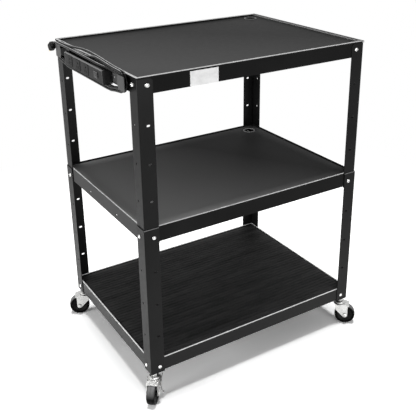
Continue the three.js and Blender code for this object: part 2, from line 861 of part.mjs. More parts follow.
function brakeLever() {
  const pinX = -brakePinLead;
  const pinZ = crownTop - brakePinDrop;
  const w = brakeArmHalfWidth;
  const shape = new THREE.Shape();
  shape.moveTo(pinX, pinZ - w);
  shape.absarc(pinX, pinZ, w, -Math.PI / 2, Math.PI / 2);
  shape.lineTo(-brakeArmLead, pinZ + brakeArmRise + w / 2);
  shape.absarc(-brakeArmLead, pinZ + brakeArmRise, w / 2, Math.PI / 2, 1.5 * Math.PI);
  const near = forkOuter + gap;
  const arm = moved(extrudeAcross(shape, brakeSheet), 0, near + brakeSheet / 2, 0);
  const rootZ = pinZ - brakePedalRoot;
  const curve = new THREE.Shape();
  curve.moveTo(near, pinZ);
  curve.lineTo(near, rootZ);
  curve.quadraticCurveTo(near, rootZ - brakePedalDrop, near + brakePedalReach, rootZ - brakePedalDrop);
  curve.lineTo(near + brakePedalReach, rootZ - brakePedalDrop + brakeSheet);
  curve.quadraticCurveTo(near + brakeSheet, rootZ - brakePedalDrop + brakeSheet, near + brakeSheet, rootZ);
  curve.lineTo(near + brakeSheet, pinZ);
  const pedal = extrudeSideways(curve, pinX - brakePedalWidth / 2, brakePedalWidth, 2 * bendSteps);
  const pinBore = turned(rod(brakePinRadius + gap, 2 * (forkOuter + overrun), boreSides), axisX, 90);
  return cut(join(arm, pedal), moved(pinBore, pinX, 0, pinZ));
}

function brakePin() {
  const reach = forkOuter - forkSheet / 2;
  const end = forkOuter + 2 * gap + brakeSheet;
  const pin = turnedBody([
    [0, 0], [brakePinRadius, 0], [brakePinRadius, end - reach], [brakePinRadius + brakeSheet, end - reach],
    [brakePinRadius + brakeSheet, end - reach + brakeSheet], [0, end - reach + brakeSheet],
  ], boreSides);
  return moved(turned(pin, axisX, -90), -brakePinLead, reach, crownTop - brakePinDrop);
}

// Wrap bracket: a bar bent outwards at both ends into flat ears. The plan and the elevation of the bent
// sheet are drawn out and what they share is the bracket.

function bracketPlan() {
  const [bar, ear] = [bracketFaceX, earBackX - bracketSheet];
  const t = bracketSheet;
  const tip = earInner + earWidth;
  const half = [
    [bar, earInner - neckSlant - t], [ear, earInner - t], [ear, tip], [ear + t, tip], [ear + t, earInner],
    [bar + t, earInner - neckSlant],
  ];
  const other = half.map(([x, y]) => [x, -y - frontEarLead]).reverse();
  return polygonShape([...half, ...other]);
}

function bracketElevation() {
  const shape = new THREE.Shape();
  const bar = bracketBarHeight / 2;
  const neck = bracketNeckHeight / 2;
  const ear = earHeight / 2;
  const start = earInner - neckSlant - neckLength;
  const tip = earInner + earWidth;
  const r = earCorner;
  const half = [
    [start, bar], [start + neckLength / 2, hankRise + neck], [earInner, hankRise + neck],
    [earInner + r, hankRise + ear], [tip - r, hankRise + ear], [tip, hankRise + ear - r],
    [tip, hankRise - ear + r], [tip - r, hankRise - ear], [earInner + r, hankRise - ear],
    [earInner, hankRise - neck], [start + neckLength / 2, hankRise - neck], [start, -bar],
  ];
  const other = half.map(([y, z]) => [-y - frontEarLead, z]).reverse();
  [...half, ...other].forEach(([y, z], i) => (i ? shape.lineTo(y, z) : shape.moveTo(y, z)));
  return shape;
}

function wrapBracket() {
  const height = 2 * earHeight;
  const plan = moved(extrude(bracketPlan(), height), 0, 0, stripMiddleZ - height / 2);
  const from = earBackX - bracketSheet - overrun;
  const elevation = extrudeSideways(bracketElevation(), from, skirtFaceX + overrun - from);
  const sheet = common(plan, moved(elevation, 0, 0, stripMiddleZ));
  const screwHoles = [-1, 1].map((s) => sideHole(s * sideHoleSpread, stripMiddleZ, holeRadius));
  const sightSlots = [-1, 1].map((s) => slotCutter(
    sightSlotLength, 2 * sideHoleRadius, 2 * overrun, 'x', skirtFaceX, s * sightHoleSpread, stripMiddleZ,
  ));
  return cut(sheet, ...screwHoles, ...sightSlots);
}

// Power strip: a drawn channel with end caps, three sockets and a rocker switch in its front wall

function stripOutline(shrink) {
  const [back, front] = [stripBackX - shrink, stripFrontX + shrink];
  const half = stripHeight / 2 - shrink;
  const bevel = stripBevel - shrink / 2;
  return [
    [back, -half], [back, half], [front + bevel, half], [front, half - bevel / 2], [front, -half + bevel / 2],
    [front + bevel, -half],
  ];
}

function outletPlace(i) {
  return outletShift + (1 - i) * outletPitch;
}

function stripHousing() {
  const tube = moved(extrudeStrip(stripOutline(0), stripLength), 0, 0, stripMiddleZ);
  const hollow = moved(extrudeStrip(stripOutline(stripWall), stripLength + 2 * overrun), 0, 0, stripMiddleZ);
  const cutters = [hollow];
  [0, 1, 2].forEach((i) => {
    const size = outletBody + 2 * gap;
    const opening = roundedRectangle(size, size, outletCorner);
    cutters.push(moved(
      extrudeSideways(opening, stripFrontX - overrun, 2 * overrun), 0, outletPlace(i), stripMiddleZ,
    ));
  });
  const [w, h] = [switchWidth - 2 * switchFlange + 2 * gap, switchHeight - 2 * switchFlange + 2 * gap];
  cutters.push(moved(
    extrudeSideways(roundedRectangle(w, h, switchFlange), stripFrontX - overrun, 2 * overrun),
    0, -switchPlace, stripMiddleZ,
  ));
  [-1, 1].forEach((s) => {
    cutters.push(roundCutter(holeRadius, 2 * overrun, 'x', stripBackX, s * sideHoleSpread, stripMiddleZ));
  });
  return cut(tube, ...cutters);
}

// An outline in X and Z, drawn out along Y about the middle of the side
function extrudeStrip(points, length) {
  return extrudeAcross(polygonShape(points), length);
}

function stripCap(sign) {
  const half = stripLength / 2;
  const plate = extrudeStrip(stripOutline(0), capThickness);
  const plug = extrudeStrip(stripOutline(stripWall + gap), capThickness + capLip);
  const y = sign * (half + gap + capThickness / 2);
  const lipY = y - sign * (capLip / 2);
  const cap = join(moved(plate, 0, y, 0), moved(plug, 0, lipY, 0));
  return moved(cap, 0, 0, stripMiddleZ);
}

// A socket with the ground hole above its two blade slots
function outlet(i) {
  const front = stripFrontX - gap - outletFlange;
  const face = extrudeSideways(roundedRectangle(outletSize, outletSize, outletCorner), front, outletFlange);
  const body = extrudeSideways(
    roundedRectangle(outletBody, outletBody, outletCorner), front, outletFlange + outletBodyDepth,
  );
  const slotZ = -groundRise;
  const slots = [-1, 1].map((s) => block(
    front - overrun, front + bladeSlotDepth,
    (s * bladeSpacing) / 2 - bladeSlotWidth / 2, (s * bladeSpacing) / 2 + bladeSlotWidth / 2,
    slotZ - bladeSlotHeight / 2, slotZ + bladeSlotHeight / 2,
  ));
  const ground = moved(
    turned(rod(groundRadius, 2 * bladeSlotDepth, groundSides), axisY, 90), front, 0, groundRise,
  );
  return moved(cut(join(face, body), ...slots, ground), 0, outletPlace(i), stripMiddleZ);
}

function switchFrame() {
  const front = stripFrontX - gap - switchFlange;
  const face = roundedRectangle(switchWidth, switchHeight, switchFlange);
  const flange = extrudeSideways(face, front, switchFlange);
  const [w, h] = [switchWidth - 2 * switchFlange, switchHeight - 2 * switchFlange];
  const body = extrudeSideways(roundedRectangle(w, h, switchFlange), front, switchFlange + switchDepth);
  const window = block(
    front - overrun, front + switchFlange + switchDepth - switchWall,
    -w / 2 + switchWall, w / 2 - switchWall, -h / 2 + switchWall, h / 2 - switchWall,
  );
  return moved(cut(join(flange, body), window), 0, -switchPlace, stripMiddleZ);
}

// Rocker: two faces that meet in a shallow valley, round behind so that it clears its frame as it tips
function rocker() {
  const length = switchWidth - 2 * switchFlange - 2 * switchWall - 2 * rockerEndGap;
  const height = switchHeight - 2 * switchFlange - 2 * switchWall - 2 * rockerGap;
  const face = rockerSeat + gap + switchFlange;
  const half = length / 2;
  const shape = new THREE.Shape();
  shape.moveTo(-face - rockerRise, -half);
  shape.lineTo(0, -half);
  shape.quadraticCurveTo(rockerBack, -half, rockerBack, 0);
  shape.quadraticCurveTo(rockerBack, half, 0, half);
  shape.lineTo(-face - rockerRise, half);
  shape.lineTo(-face, 0);
  return moved(extrude(shape, height), 0, 0, -height / 2);
}

// Two screws clamp the strip's back wall and the bracket to the skirt, with nuts inside the shelf
function stripFasteners() {
  const seat = stripBackX - stripWall - gap;
  const nutSeat = skirtFaceX + shelfSheet + gap;
  const length = nutSeat + nutHeight + screwTail - seat;
  const screw = turned(panScrew(length, stripScrewHeadHeight), axisY, -90);
  const nut = turned(hexNut(nutAcrossFlats, nutHeight, screwRadius + gap), axisY, 90);
  const placed = (item, x) => [-1, 1].map((s) => moved(item, x, s * sideHoleSpread, stripMiddleZ));
  return { screws: placed(screw, seat), nuts: placed(nut, nutSeat) };
}

// Mains cord: lead from the strip, four loops round the ears, and the tail to the plug.
// The loops lie in two layers of two. Each moves to the place of the next one along its upper run, the last
// loop first, so that no two cross, and the tail leaves in a third layer over the rear ear.

const loopPlaces = [
  { layer: 0, ring: 0 }, { layer: 0, ring: 1 }, { layer: 1, ring: 1 }, { layer: 1, ring: 0 },
];
const tailPlace = { layer: 2, ring: 0 };
const changeShares = [[0.76, 0.98], [0.54, 0.76], [0.32, 0.54], [0.1, 0.32]];
const tailLiftShares = [0.5, 0.9];
const tailLift = earHeight / 2 + cordRadius + tailClearance - turnRadius;

function smooth(share) {
  const s = Math.min(Math.max(share, 0), 1);
  return s * s * (3 - 2 * s);
}

function ramp(share, [start, end]) {
  return smooth((share - start) / (end - start));
}

function between(first, second, share) {
  return first + (second - first) * share;
}

function layerX(layer) {
  return firstLayerX - layer * cordPitch;
}

function ringRadius(ring) {
  return turnRadius + ring * cordPitch;
}

function upperRun(share, i) {
  const isLast = i === loopPlaces.length - 1;
  const [from, to] = [loopPlaces[i], isLast ? tailPlace : loopPlaces[i + 1]];
  const change = ramp(share, changeShares[i]);
  const ring = between(from.ring, to.ring, change);
  const lift = isLast ? tailLift * ramp(share, tailLiftShares) : 0;
  const bulge = between(innerTopBulge, topBulge, ring) * Math.sin(Math.PI * share) ** 2;
  return new THREE.Vector3(
    layerX(between(from.layer, to.layer, change)),
    turnPlace * (2 * share - 1),
    hankZ + ringRadius(ring) + bulge + lift,
  );
}

function lowerRun(share, i) {
  const y = turnPlace * (1 - 2 * share);
  const drop = bottomBulge * smooth((turnPlace - Math.abs(y)) / bulgeRamp);
  return new THREE.Vector3(layerX(loopPlaces[i].layer), y, hankZ - ringRadius(loopPlaces[i].ring) - drop);
}

// The rear turn runs from top to bottom and the front one from bottom to top
function turnPoint(share, i, end) {
  const angle = end * Math.PI * (0.5 - share);
  const radius = ringRadius(loopPlaces[i].ring);
  const y = end * (turnPlace + radius * Math.cos(angle));
  return new THREE.Vector3(layerX(loopPlaces[i].layer), y, hankZ + radius * Math.sin(angle));
}

function steps(count, make) {
  return Array.from({ length: count }, (_, k) => make(k / count));
}

function loopPoints(i) {
  return [
    ...steps(loopSteps.turn, (share) => turnPoint(share, i, 1)),
    ...steps(loopSteps.bottom, (share) => lowerRun(share, i)),
    ...steps(loopSteps.turn, (share) => turnPoint(share, i, -1)),
    ...steps(loopSteps.top, (share) => upperRun(share, i)),
  ];
}

const capEndY = stripLength / 2 + gap + capThickness;
const cordExit = new THREE.Vector3(
  stripBackX - stripWall - reliefRadius,
  capEndY + gap + reliefLength + gap,
  stripMiddleZ + stripHeight / 2 - stripWall - reliefRadius,
);

// The lead rises over the neck of the bracket to the top of the first turn
function leadPoints() {
  const end = turnPoint(0, 0, 1);
  const bendStart = cordExit.clone().setY(cordExit.y + cordDiameter);
  const rise = steps(leadSteps, (share) => new THREE.Vector3(
    between(bendStart.x, end.x, smooth(share)),
    between(bendStart.y, end.y, share),
    between(bendStart.z, end.z, smooth(share)),
  ));
  return [cordExit, ...rise];
}

const plugDirection = axisY.clone().applyAxisAngle(axisX, -THREE.MathUtils.degToRad(tailAngle));

// The tail passes over the rear ear and bends down to the plug
function tailPoints() {
  const start = upperRun(1, loopPlaces.length - 1);
  const bendY = turnPlace + tailStart;
  const angle = THREE.MathUtils.degToRad(tailAngle);
  const bendPoint = (share) => new THREE.Vector3(
    start.x,
    bendY + tailBend * Math.sin(share * angle),
    start.z - tailBend * (1 - Math.cos(share * angle)),
  );
  const bendEnd = bendPoint(1);
  const last = bendEnd.clone().addScaledVector(plugDirection, cordDiameter);
  return [start, ...steps(tailSteps, bendPoint), bendEnd, last];
}

function cordRoute() {
  const loops = loopPlaces.flatMap((_, i) => loopPoints(i));
  return [...leadPoints(), ...loops, ...tailPoints()];
}

// A tube of one section carried along the points without twisting, closed at both ends
function tubeAlong(points, radius, sides) {
  const positions = [];
  const frameNormal = new THREE.Vector3(1, 0, 0);
  const count = points.length;
  for (let i = 0; i < count; i += 1) {
    const before = points[Math.max(i - 1, 0)];
    const after = points[Math.min(i + 1, count - 1)];
    const tangent = after.clone().sub(before).normalize();
    frameNormal.addScaledVector(tangent, -frameNormal.dot(tangent)).normalize();
    const binormal = tangent.clone().cross(frameNormal);
    for (let j = 0; j < sides; j += 1) {
      const angle = (j * 2 * Math.PI) / sides;
      const rim = points[i].clone()
        .addScaledVector(frameNormal, radius * Math.cos(angle))
        .addScaledVector(binormal, radius * Math.sin(angle));
      positions.push(rim.x, rim.y, rim.z);
    }
  }
  const index = [];
  for (let i = 0; i < count - 1; i += 1) {
    for (let j = 0; j < sides; j += 1) {
      const k = (j + 1) % sides;
      const [a, b, c, d] = [i * sides + j, i * sides + k, (i + 1) * sides + k, (i + 1) * sides + j];
      index.push(a, b, c, a, c, d);
    }
  }
  const last = (count - 1) * sides;
  for (let j = 1; j < sides - 1; j += 1) {
    index.push(0, j + 1, j);
    index.push(last, last + j, last + j + 1);
  }
  const geometry = new THREE.BufferGeometry();
  geometry.setAttribute('position', new THREE.Float32BufferAttribute(positions, 3));
  geometry.setIndex(index);
  geometry.computeVertexNormals();
  return geometry;
}

function routeLength(points) {
  return points.slice(1).reduce((sum, point, i) => sum + point.distanceTo(points[i]), 0);
}

// Least distance between stretches that are well over a turn apart, less the cord's diameter
function leastGap(points) {
  const apart = loopSteps.turn + loopSteps.bottom / 2;
  const found = new THREE.Vector3();
  let least = Infinity;
  for (let i = 0; i < points.length - 1; i += 1) {
    const samples = steps(gapSteps, (share) => points[i].clone().lerp(points[i + 1], share));
    for (let j = 0; j < points.length - 1; j += 1) {
      if (Math.abs(i - j) < apart) continue;
      const line = new THREE.Line3(points[j], points[j + 1]);
      samples.forEach((point) => {
        least = Math.min(least, line.closestPointToPoint(point, true, found).distanceTo(point));
      });
    }
  }
  return least - cordDiameter;
}

function cordRelief() {
  const relief = turnedBody([
    [0, 0],
    [reliefRadius, 0],
    [reliefRadius, reliefCollar],
    [reliefTipRadius, reliefLength],
    [0, reliefLength],
  ], boreSides);
  return moved(turned(relief, axisX, -90), cordExit.x, capEndY + gap, cordExit.z);
}

// Plug, drawn along +Y from the end of its relief: a moulded body that narrows to the cord, with two blades
// and a round ground pin

function placedPlug(geometry, end) {
  const sloped = turned(geometry, axisX, -tailAngle);
  const start = end.clone().addScaledVector(plugDirection, gap);
  return moved(sloped, start.x, start.y, start.z);
}

function plugBody() {
  const reach = plugReliefLength + plugNeckLength;
  const relief = turnedBody([
    [0, 0], [reliefTipRadius, 0], [plugNeckRadius, reach], [0, reach],
  ], boreSides);
  const outline = roundedRectangle(plugThickness, plugWidth, plugCorner);
  const front = moved(extrudeAcross(outline, plugBodyLength), 0, plugReliefLength + plugBodyLength / 2, 0);
  return join(front, turned(relief, axisX, -90));
}

function plugBlades() {
  const start = plugReliefLength + plugBodyLength + gap;
  const lift = plugBladeShift;
  const blade = (z) => block(
    -lift - plugBladeHeight / 2, -lift + plugBladeHeight / 2, start, start + plugBladeLength,
    z - plugBladeThickness / 2, z + plugBladeThickness / 2,
  );
  const pinLength = plugBladeLength + plugPinExtra;
  const pin = turned(rod(plugPinRadius, pinLength, smallSides), axisX, 90);
  return {
    plug_blade_upper: blade(bladeSpacing / 2),
    plug_blade_lower: blade(-bladeSpacing / 2),
    plug_ground_pin: moved(pin, plugPinDrop - lift, start + pinLength / 2, 0),
  };
}

// The whole cart

const cart = new THREE.Group();

function add(parent, name, geometry, surface) {
  const mesh = new THREE.Mesh(geometry, surface);
  mesh.name = name;
  parent.add(mesh);
}

add(cart, 'top_shelf', topShelf(), blackPaint());
add(cart, 'middle_shelf', middleShelf(), blackPaint());
add(cart, 'bottom_shelf', bottomShelf(), blackPaint());
add(cart, 'bottom_mat', ribbedMat(), blackRubber());
add(cart, 'top_grommet', grommet(cartHeight), blackPlastic());
add(cart, 'middle_grommet', grommet(middleRimZ), blackPlastic());

const corners = {
  front_left: [1, 1], front_right: [-1, 1], rear_left: [1, -1], rear_right: [-1, -1],
};
const upper = upperLeg();
const lower = lowerLeg();
Object.entries(corners).forEach(([corner, [signX, signY]]) => {
  const raised = mirrored(moved(upper, lap, lap, 0), signX, signY);
  add(cart, `upper_leg_${corner}`, moved(raised, -signX * halfWidth, -signY * halfDepth, 0), blackPaint());
  const low = mirrored(lower, signX, signY);
  add(cart, `lower_leg_${corner}`, moved(low, -signX * halfWidth, -signY * halfDepth, 0), blackPaint());
});

add(cart, 'cord_wrap_bracket', wrapBracket(), blackPaint());
add(cart, 'strip_housing', stripHousing(), blackPaint());
add(cart, 'strip_cap_front', stripCap(-1), blackPlastic());
add(cart, 'strip_cap_rear', stripCap(1), blackPlastic());
[0, 1, 2].forEach((i) => add(cart, `outlet_${i + 1}`, outlet(i), blackPlastic()));
add(cart, 'switch_frame', switchFrame(), blackPlastic());
const rockerPivot = new THREE.Group();
rockerPivot.position.set(stripFrontX + rockerSeat, -switchPlace, stripMiddleZ);
rockerPivot.rotation.z = THREE.MathUtils.degToRad(rockerTilt);
cart.add(rockerPivot);
add(rockerPivot, 'switch_rocker', rocker(), greyPlastic());
const stripSet = stripFasteners();
['front', 'rear'].forEach((end, i) => {
  add(cart, `strip_screw_${end}`, stripSet.screws[i], zinc());
  add(cart, `strip_nut_${end}`, stripSet.nuts[i], zinc());
});

const route = cordRoute();
add(cart, 'cord_relief', cordRelief(), blackRubber());
add(cart, 'power_cord', tubeAlong(route, cordRadius, cordSides), blackRubber());
const tailEnd = route[route.length - 1];
add(cart, 'plug_body', placedPlug(plugBody(), tailEnd), blackRubber());
Object.entries(plugBlades()).forEach(([name, blade]) => add(cart, name, placedPlug(blade, tailEnd), brass()));
console.log(`cord length ${routeLength(route).toFixed(1)} mm`);
console.log(`least gap of the cord to itself ${leastGap(route).toFixed(2)} mm`);

Object.entries(corners).forEach(([corner, [signX, signY]]) => {
  const place = new THREE.Group();
  place.position.set(-signX * (halfWidth - stemInset), -signY * (halfDepth - stemInset), 0);
  cart.add(place);
  add(place, `caster_stem_${corner}`, casterStem(), zinc());
  add(place, `stem_nut_${corner}`, stemNut(), zinc());
  const swivel = new THREE.Group();
  swivel.rotation.z = THREE.MathUtils.degToRad(casterAngles[corner]);
  place.add(swivel);
  add(swivel, `fork_${corner}`, signY > 0 ? join(fork(), brakePin()) : fork(), zinc());
  add(swivel, `axle_${corner}`, axle(), zinc());
  add(swivel, `hub_${corner}`, hub(), greyPlastic());
  add(swivel, `tyre_${corner}`, tyre(), blackRubber());
  if (signY > 0) add(swivel, `brake_lever_${corner}`, brakeLever(), zinc());
});

export default cart;
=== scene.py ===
"""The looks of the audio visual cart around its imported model. Metres, the model's own frame."""

import math
from collections import namedtuple

import bmesh
import bpy
from mathutils import Matrix, Vector


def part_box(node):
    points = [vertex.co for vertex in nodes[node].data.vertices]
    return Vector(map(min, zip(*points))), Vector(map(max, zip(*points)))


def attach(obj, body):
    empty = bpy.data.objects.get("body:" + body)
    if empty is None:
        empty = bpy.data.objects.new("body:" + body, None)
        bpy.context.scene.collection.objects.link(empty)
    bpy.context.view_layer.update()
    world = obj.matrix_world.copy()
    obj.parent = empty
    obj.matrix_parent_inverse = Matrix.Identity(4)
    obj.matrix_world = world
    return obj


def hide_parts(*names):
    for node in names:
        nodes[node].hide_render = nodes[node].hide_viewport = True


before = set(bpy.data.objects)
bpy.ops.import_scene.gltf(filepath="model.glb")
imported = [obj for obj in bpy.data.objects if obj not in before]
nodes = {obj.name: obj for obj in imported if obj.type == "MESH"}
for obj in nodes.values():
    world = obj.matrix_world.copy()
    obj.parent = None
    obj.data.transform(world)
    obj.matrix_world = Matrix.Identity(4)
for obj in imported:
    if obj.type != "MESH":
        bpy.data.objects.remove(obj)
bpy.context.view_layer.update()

# Camera

CAMERA_PLACE = Vector((-1.1651, -1.8979, 1.5385))
CAMERA_YAW = math.radians(31.524)
CAMERA_DOWN = math.radians(21.584)
CAMERA_ROLL = math.radians(-0.75)
FOCAL_PIXELS = 687.7
PICTURE_PIXELS = 416
SENSOR_WIDTH = 36.0
SHIFT_UP = -0.125


def add_camera():
    camera = bpy.data.cameras.new("photo_camera")
    camera.sensor_width = SENSOR_WIDTH
    camera.lens = FOCAL_PIXELS * SENSOR_WIDTH / PICTURE_PIXELS
    camera.shift_y = SHIFT_UP
    forward = Vector((
        math.cos(CAMERA_DOWN) * math.sin(CAMERA_YAW),
        math.cos(CAMERA_DOWN) * math.cos(CAMERA_YAW),
        -math.sin(CAMERA_DOWN),
    ))
    level = Vector((math.cos(CAMERA_YAW), -math.sin(CAMERA_YAW), 0))
    upright = level.cross(forward)
    right = math.cos(CAMERA_ROLL) * level + math.sin(CAMERA_ROLL) * upright
    up = -math.sin(CAMERA_ROLL) * level + math.cos(CAMERA_ROLL) * upright
    turn = Matrix((right, up, -forward)).transposed().to_4x4()
    holder = add_object("photo_camera", camera)
    holder.matrix_world = Matrix.Translation(CAMERA_PLACE) @ turn
    bpy.context.scene.camera = holder


# Building blocks

SHARP_ANGLE = math.radians(35)
ROUND_SHARP_ANGLE = math.radians(40)


def add_object(name, data):
    piece = bpy.data.objects.new(name, data)
    bpy.context.scene.collection.objects.link(piece)
    return piece


def mesh_from(name, fill):
    """A mesh whose bmesh is built by the function fill."""
    shape = bmesh.new()
    fill(shape)
    bmesh.ops.recalc_face_normals(shape, faces=shape.faces)
    mesh = bpy.data.meshes.new(name)
    shape.to_mesh(mesh)
    shape.free()
    return mesh


def shade(mesh, angle):
    mesh.shade_smooth()
    mesh.set_sharp_from_angle(angle=angle)


def bridge(shape, rings):
    """Faces from each ring of vertices to the next. A ring of one vertex is a tip."""
    for lower, upper in zip(rings, rings[1:]):
        sides = max(len(lower), len(upper))
        for step in range(sides):
            after = (step + 1) % sides
            corners = [lower[step % len(lower)], lower[after % len(lower)],
                       upper[after % len(upper)], upper[step % len(upper)]]
            shape.faces.new(list(dict.fromkeys(corners)))


def bridge_closed(shape, rings):
    """The same, with a face over the first and the last ring."""
    bridge(shape, rings)
    shape.faces.new(rings[0])
    shape.faces.new(rings[-1])


def lathe(shape, profile, sides):
    """Turns the profile, a list of (radius, height), about Z. A radius of zero closes the form."""
    rings = []
    for radius, height in profile:
        angles = [2 * math.pi * step / sides for step in range(sides if radius else 1)]
        rings.append([shape.verts.new((radius * math.cos(angle), radius * math.sin(angle), height))
                      for angle in angles])
    bridge(shape, rings)


# Node graphs of the finishes

MIX_COLOURS = (6, 7)
MIX_RESULT = 2
NOISE_SPAN = (0.3, 0.7)
BEVEL_SAMPLES = 6


class Finish:
    """One material and short ways to build its nodes."""

    def __init__(self, name, metallic=0.0, specular=0.5):
        self.material = bpy.data.materials.new(name)
        self.material.use_nodes = True
        self.tree = self.material.node_tree
        self.shader = self.tree.nodes["Principled BSDF"]
        self.shader.inputs["Metallic"].default_value = metallic
        self.shader.inputs["Specular IOR Level"].default_value = specular
        self.place = self.node("ShaderNodeTexCoord").outputs["Object"]

    def node(self, kind, inputs=None, **settings):
        made = self.tree.nodes.new(kind)
        for key, value in settings.items():
            setattr(made, key, value)
        for key, value in (inputs or {}).items():
            self.feed(made.inputs[key], value)
        return made

    def feed(self, socket, value):
        """Links a socket to another one, or sets it to a value."""
        if isinstance(value, bpy.types.NodeSocket):
            self.tree.links.new(value, socket)
        else:
            socket.default_value = value

    def math(self, operation, first, second=0.0, third=0.0):
        made = self.node("ShaderNodeMath", {0: first, 1: second, 2: third}, operation=operation)
        return made.outputs["Value"]

    def both(self, first, second):
        return self.math("MULTIPLY", first, second)

    def part(self, axis):
        """The place along one axis, X, Y or Z."""
        return self.node("ShaderNodeSeparateXYZ", {"Vector": self.place}).outputs[axis]

    def within(self, axis, low, high):
        """1 between two places along an axis."""
        return self.math("COMPARE", self.part(axis), (low + high) / 2, (high - low) / 2)

    def noise(self, scale, detail, rough=0.55, stretch=(1, 1, 1)):
        spot = self.node("ShaderNodeMapping", {"Vector": self.place, "Scale": stretch}).outputs["Vector"]
        made = self.node("ShaderNodeTexNoise",
                         {"Vector": spot, "Scale": scale, "Detail": detail, "Roughness": rough})
        return made.outputs["Fac"]

    def spread(self, value, low, high, source=NOISE_SPAN):
        made = self.node("ShaderNodeMapRange", {"Value": value, "From Min": source[0],
                                                "From Max": source[1], "To Min": low, "To Max": high})
        return made.outputs["Result"]

    def upward(self, reach):
        """0 to 1 as a face turns up: reach holds the parts along Z of its direction."""
        facing = self.node("ShaderNodeNewGeometry").outputs["Normal"]
        rise = self.node("ShaderNodeSeparateXYZ", {"Vector": facing}).outputs["Z"]
        return self.spread(rise, 0, 1, reach)

    def mix(self, share, first, second):
        made = self.node("ShaderNodeMix", {0: share}, data_type="RGBA")
        for index, colour in zip(MIX_COLOURS, (first, second)):
            self.feed(made.inputs[index], (*colour, 1) if isinstance(colour, tuple) else colour)
        return made.outputs[MIX_RESULT]

    def mix_shader(self, share, first, second):
        return self.node("ShaderNodeMixShader", {0: share, 1: first, 2: second}).outputs[0]

    def colour(self, socket):
        self.feed(self.shader.inputs["Base Color"], socket)

    def gloss(self, scale, detail, smooth_end, rough_end):
        """Uneven roughness, from a noise."""
        uneven = self.spread(self.noise(scale, detail), smooth_end, rough_end)
        self.feed(self.shader.inputs["Roughness"], uneven)

    def surface(self, socket):
        self.feed(self.tree.nodes["Material Output"].inputs["Surface"], socket)

    def grain(self, scale, detail, strength, depth):
        """A layer for bump: a noise, its strength and its depth in metres."""
        return self.noise(scale, detail), strength, depth

    def bump(self, layers, round_edges=0.0):
        """Bumps from a list of (height socket, strength, depth in metres), over rounded edges."""
        normal = None
        if round_edges:
            bevel = self.node("ShaderNodeBevel", {"Radius": round_edges}, samples=BEVEL_SAMPLES)
            normal = bevel.outputs["Normal"]
        for height, strength, depth in layers:
            inputs = {"Height": height, "Strength": strength, "Distance": depth}
            if normal:
                inputs["Normal"] = normal
            normal = self.node("ShaderNodeBump", inputs).outputs["Normal"]
        self.feed(self.shader.inputs["Normal"], normal)


def grey(value):
    return (value, value, value)


def dimmed(tone, share):
    return tuple(share * part for part in tone)


# Powder coat
# The numbers of a noise are its scale and detail. A gloss adds the two ends of its roughness to them, and a
# grain its strength and depth.

COAT_PATCHES = (5.0, 2.0)
COAT_SPECKS = (900.0, 1.0)
SPECK_SPAN = (0.62, 0.72)
SPECK_SHARE = 0.35
SPECK_LIGHT = 1.6
COAT_GLOSS = (60.0, 4.0)
COAT_ROUGHNESS = (0.3, 0.38)
ORANGE_PEEL = (650.0, 2.0, 0.2, 0.0001)
COAT_WAVES = (60.0, 2.0, 0.05, 0.0003)
COAT_EDGE = 0.0009
# A highlight painted along a tray's rolled rim, broken up by a noise, and light and shade painted on its
# floor
RIM_FADE = (0.0018, 0.0007)
RIM_HIGHLIGHT_BREAKUP = (45.0, 3.0)
RIM_HIGHLIGHT_BREAKUP_LEAST = 0.75
TRAY_DEPTH = 0.006
TRAY_FLOOR_REACH = 0.0006
TRAY_FLOOR_FACING = (0.9, 0.99)
FLOOR_LIGHT_REACH = (-0.5, 0.2)

Rim = namedtuple("Rim", "height edge near far lean")
Crest = namedtuple("Crest", "axis side beyond low high tone")


def powder_coat(name, dark, light, rough=COAT_ROUGHNESS, specular=0.1, rim=None, crests=()):
    """Powder coated steel: fine orange peel, a few specks and soft patches.

    A Rim is the height of a tray's rolled edge and the tone of the highlight painted there, the tones of
    the light and shade painted on the tray's floor, lighter near at the front left and darker far at the
    rear right, and how much Y counts beside X for that painted light.
    A Crest is a band along one side with a painted tone, lighter where light falls and darker where shade
    does:
    the axis, the side, -1 or 1, the distance that it lies beyond, its lowest and highest height, and its
    tone.
    """
    made = Finish(name, specular=specular)
    patches = made.spread(made.noise(*COAT_PATCHES), 0, 1)
    specks = made.spread(made.noise(*COAT_SPECKS), 0, SPECK_SHARE, SPECK_SPAN)
    tone = made.mix(patches, grey(dark), grey(light))
    tone = made.mix(specks, tone, grey(light * SPECK_LIGHT))
    if rim:
        # Painted light on the tray's floor: lighter at the front left and darker at the rear right, as
        # light falls from the left
        along = made.math("MULTIPLY_ADD", made.part("Y"), rim.lean, made.part("X"))
        painted_floor_light = made.mix(made.spread(along, 0, 1, FLOOR_LIGHT_REACH), grey(rim.near), grey(rim.far))
        floor = rim.height - TRAY_DEPTH
        level = made.within("Z", floor - TRAY_FLOOR_REACH, floor + TRAY_FLOOR_REACH)
        tone = made.mix(made.both(level, made.upward(TRAY_FLOOR_FACING)), tone, painted_floor_light)
        # A highlight painted along the rolled rim, broken up by a noise
        top = made.spread(made.part("Z"), 0, 1, tuple(rim.height - fade for fade in RIM_FADE))
        painted_highlight_mask = made.both(top, made.spread(made.noise(*RIM_HIGHLIGHT_BREAKUP), RIM_HIGHLIGHT_BREAKUP_LEAST, 1))
        tone = made.mix(painted_highlight_mask, tone, grey(rim.edge))
    # Bands of painted light and shade along the sides
    for crest in crests:
        outward = made.both(made.part(crest.axis), crest.side)
        beyond = made.math("GREATER_THAN", outward, crest.beyond)
        level = made.within("Z", crest.low, crest.high)
        tone = made.mix(made.both(beyond, level), tone, grey(crest.tone))
    made.colour(tone)
    made.gloss(*COAT_GLOSS, *rough)
    made.bump([made.grain(*ORANGE_PEEL), made.grain(*COAT_WAVES)], COAT_EDGE)
    return made


# Plastic, rubber and plating

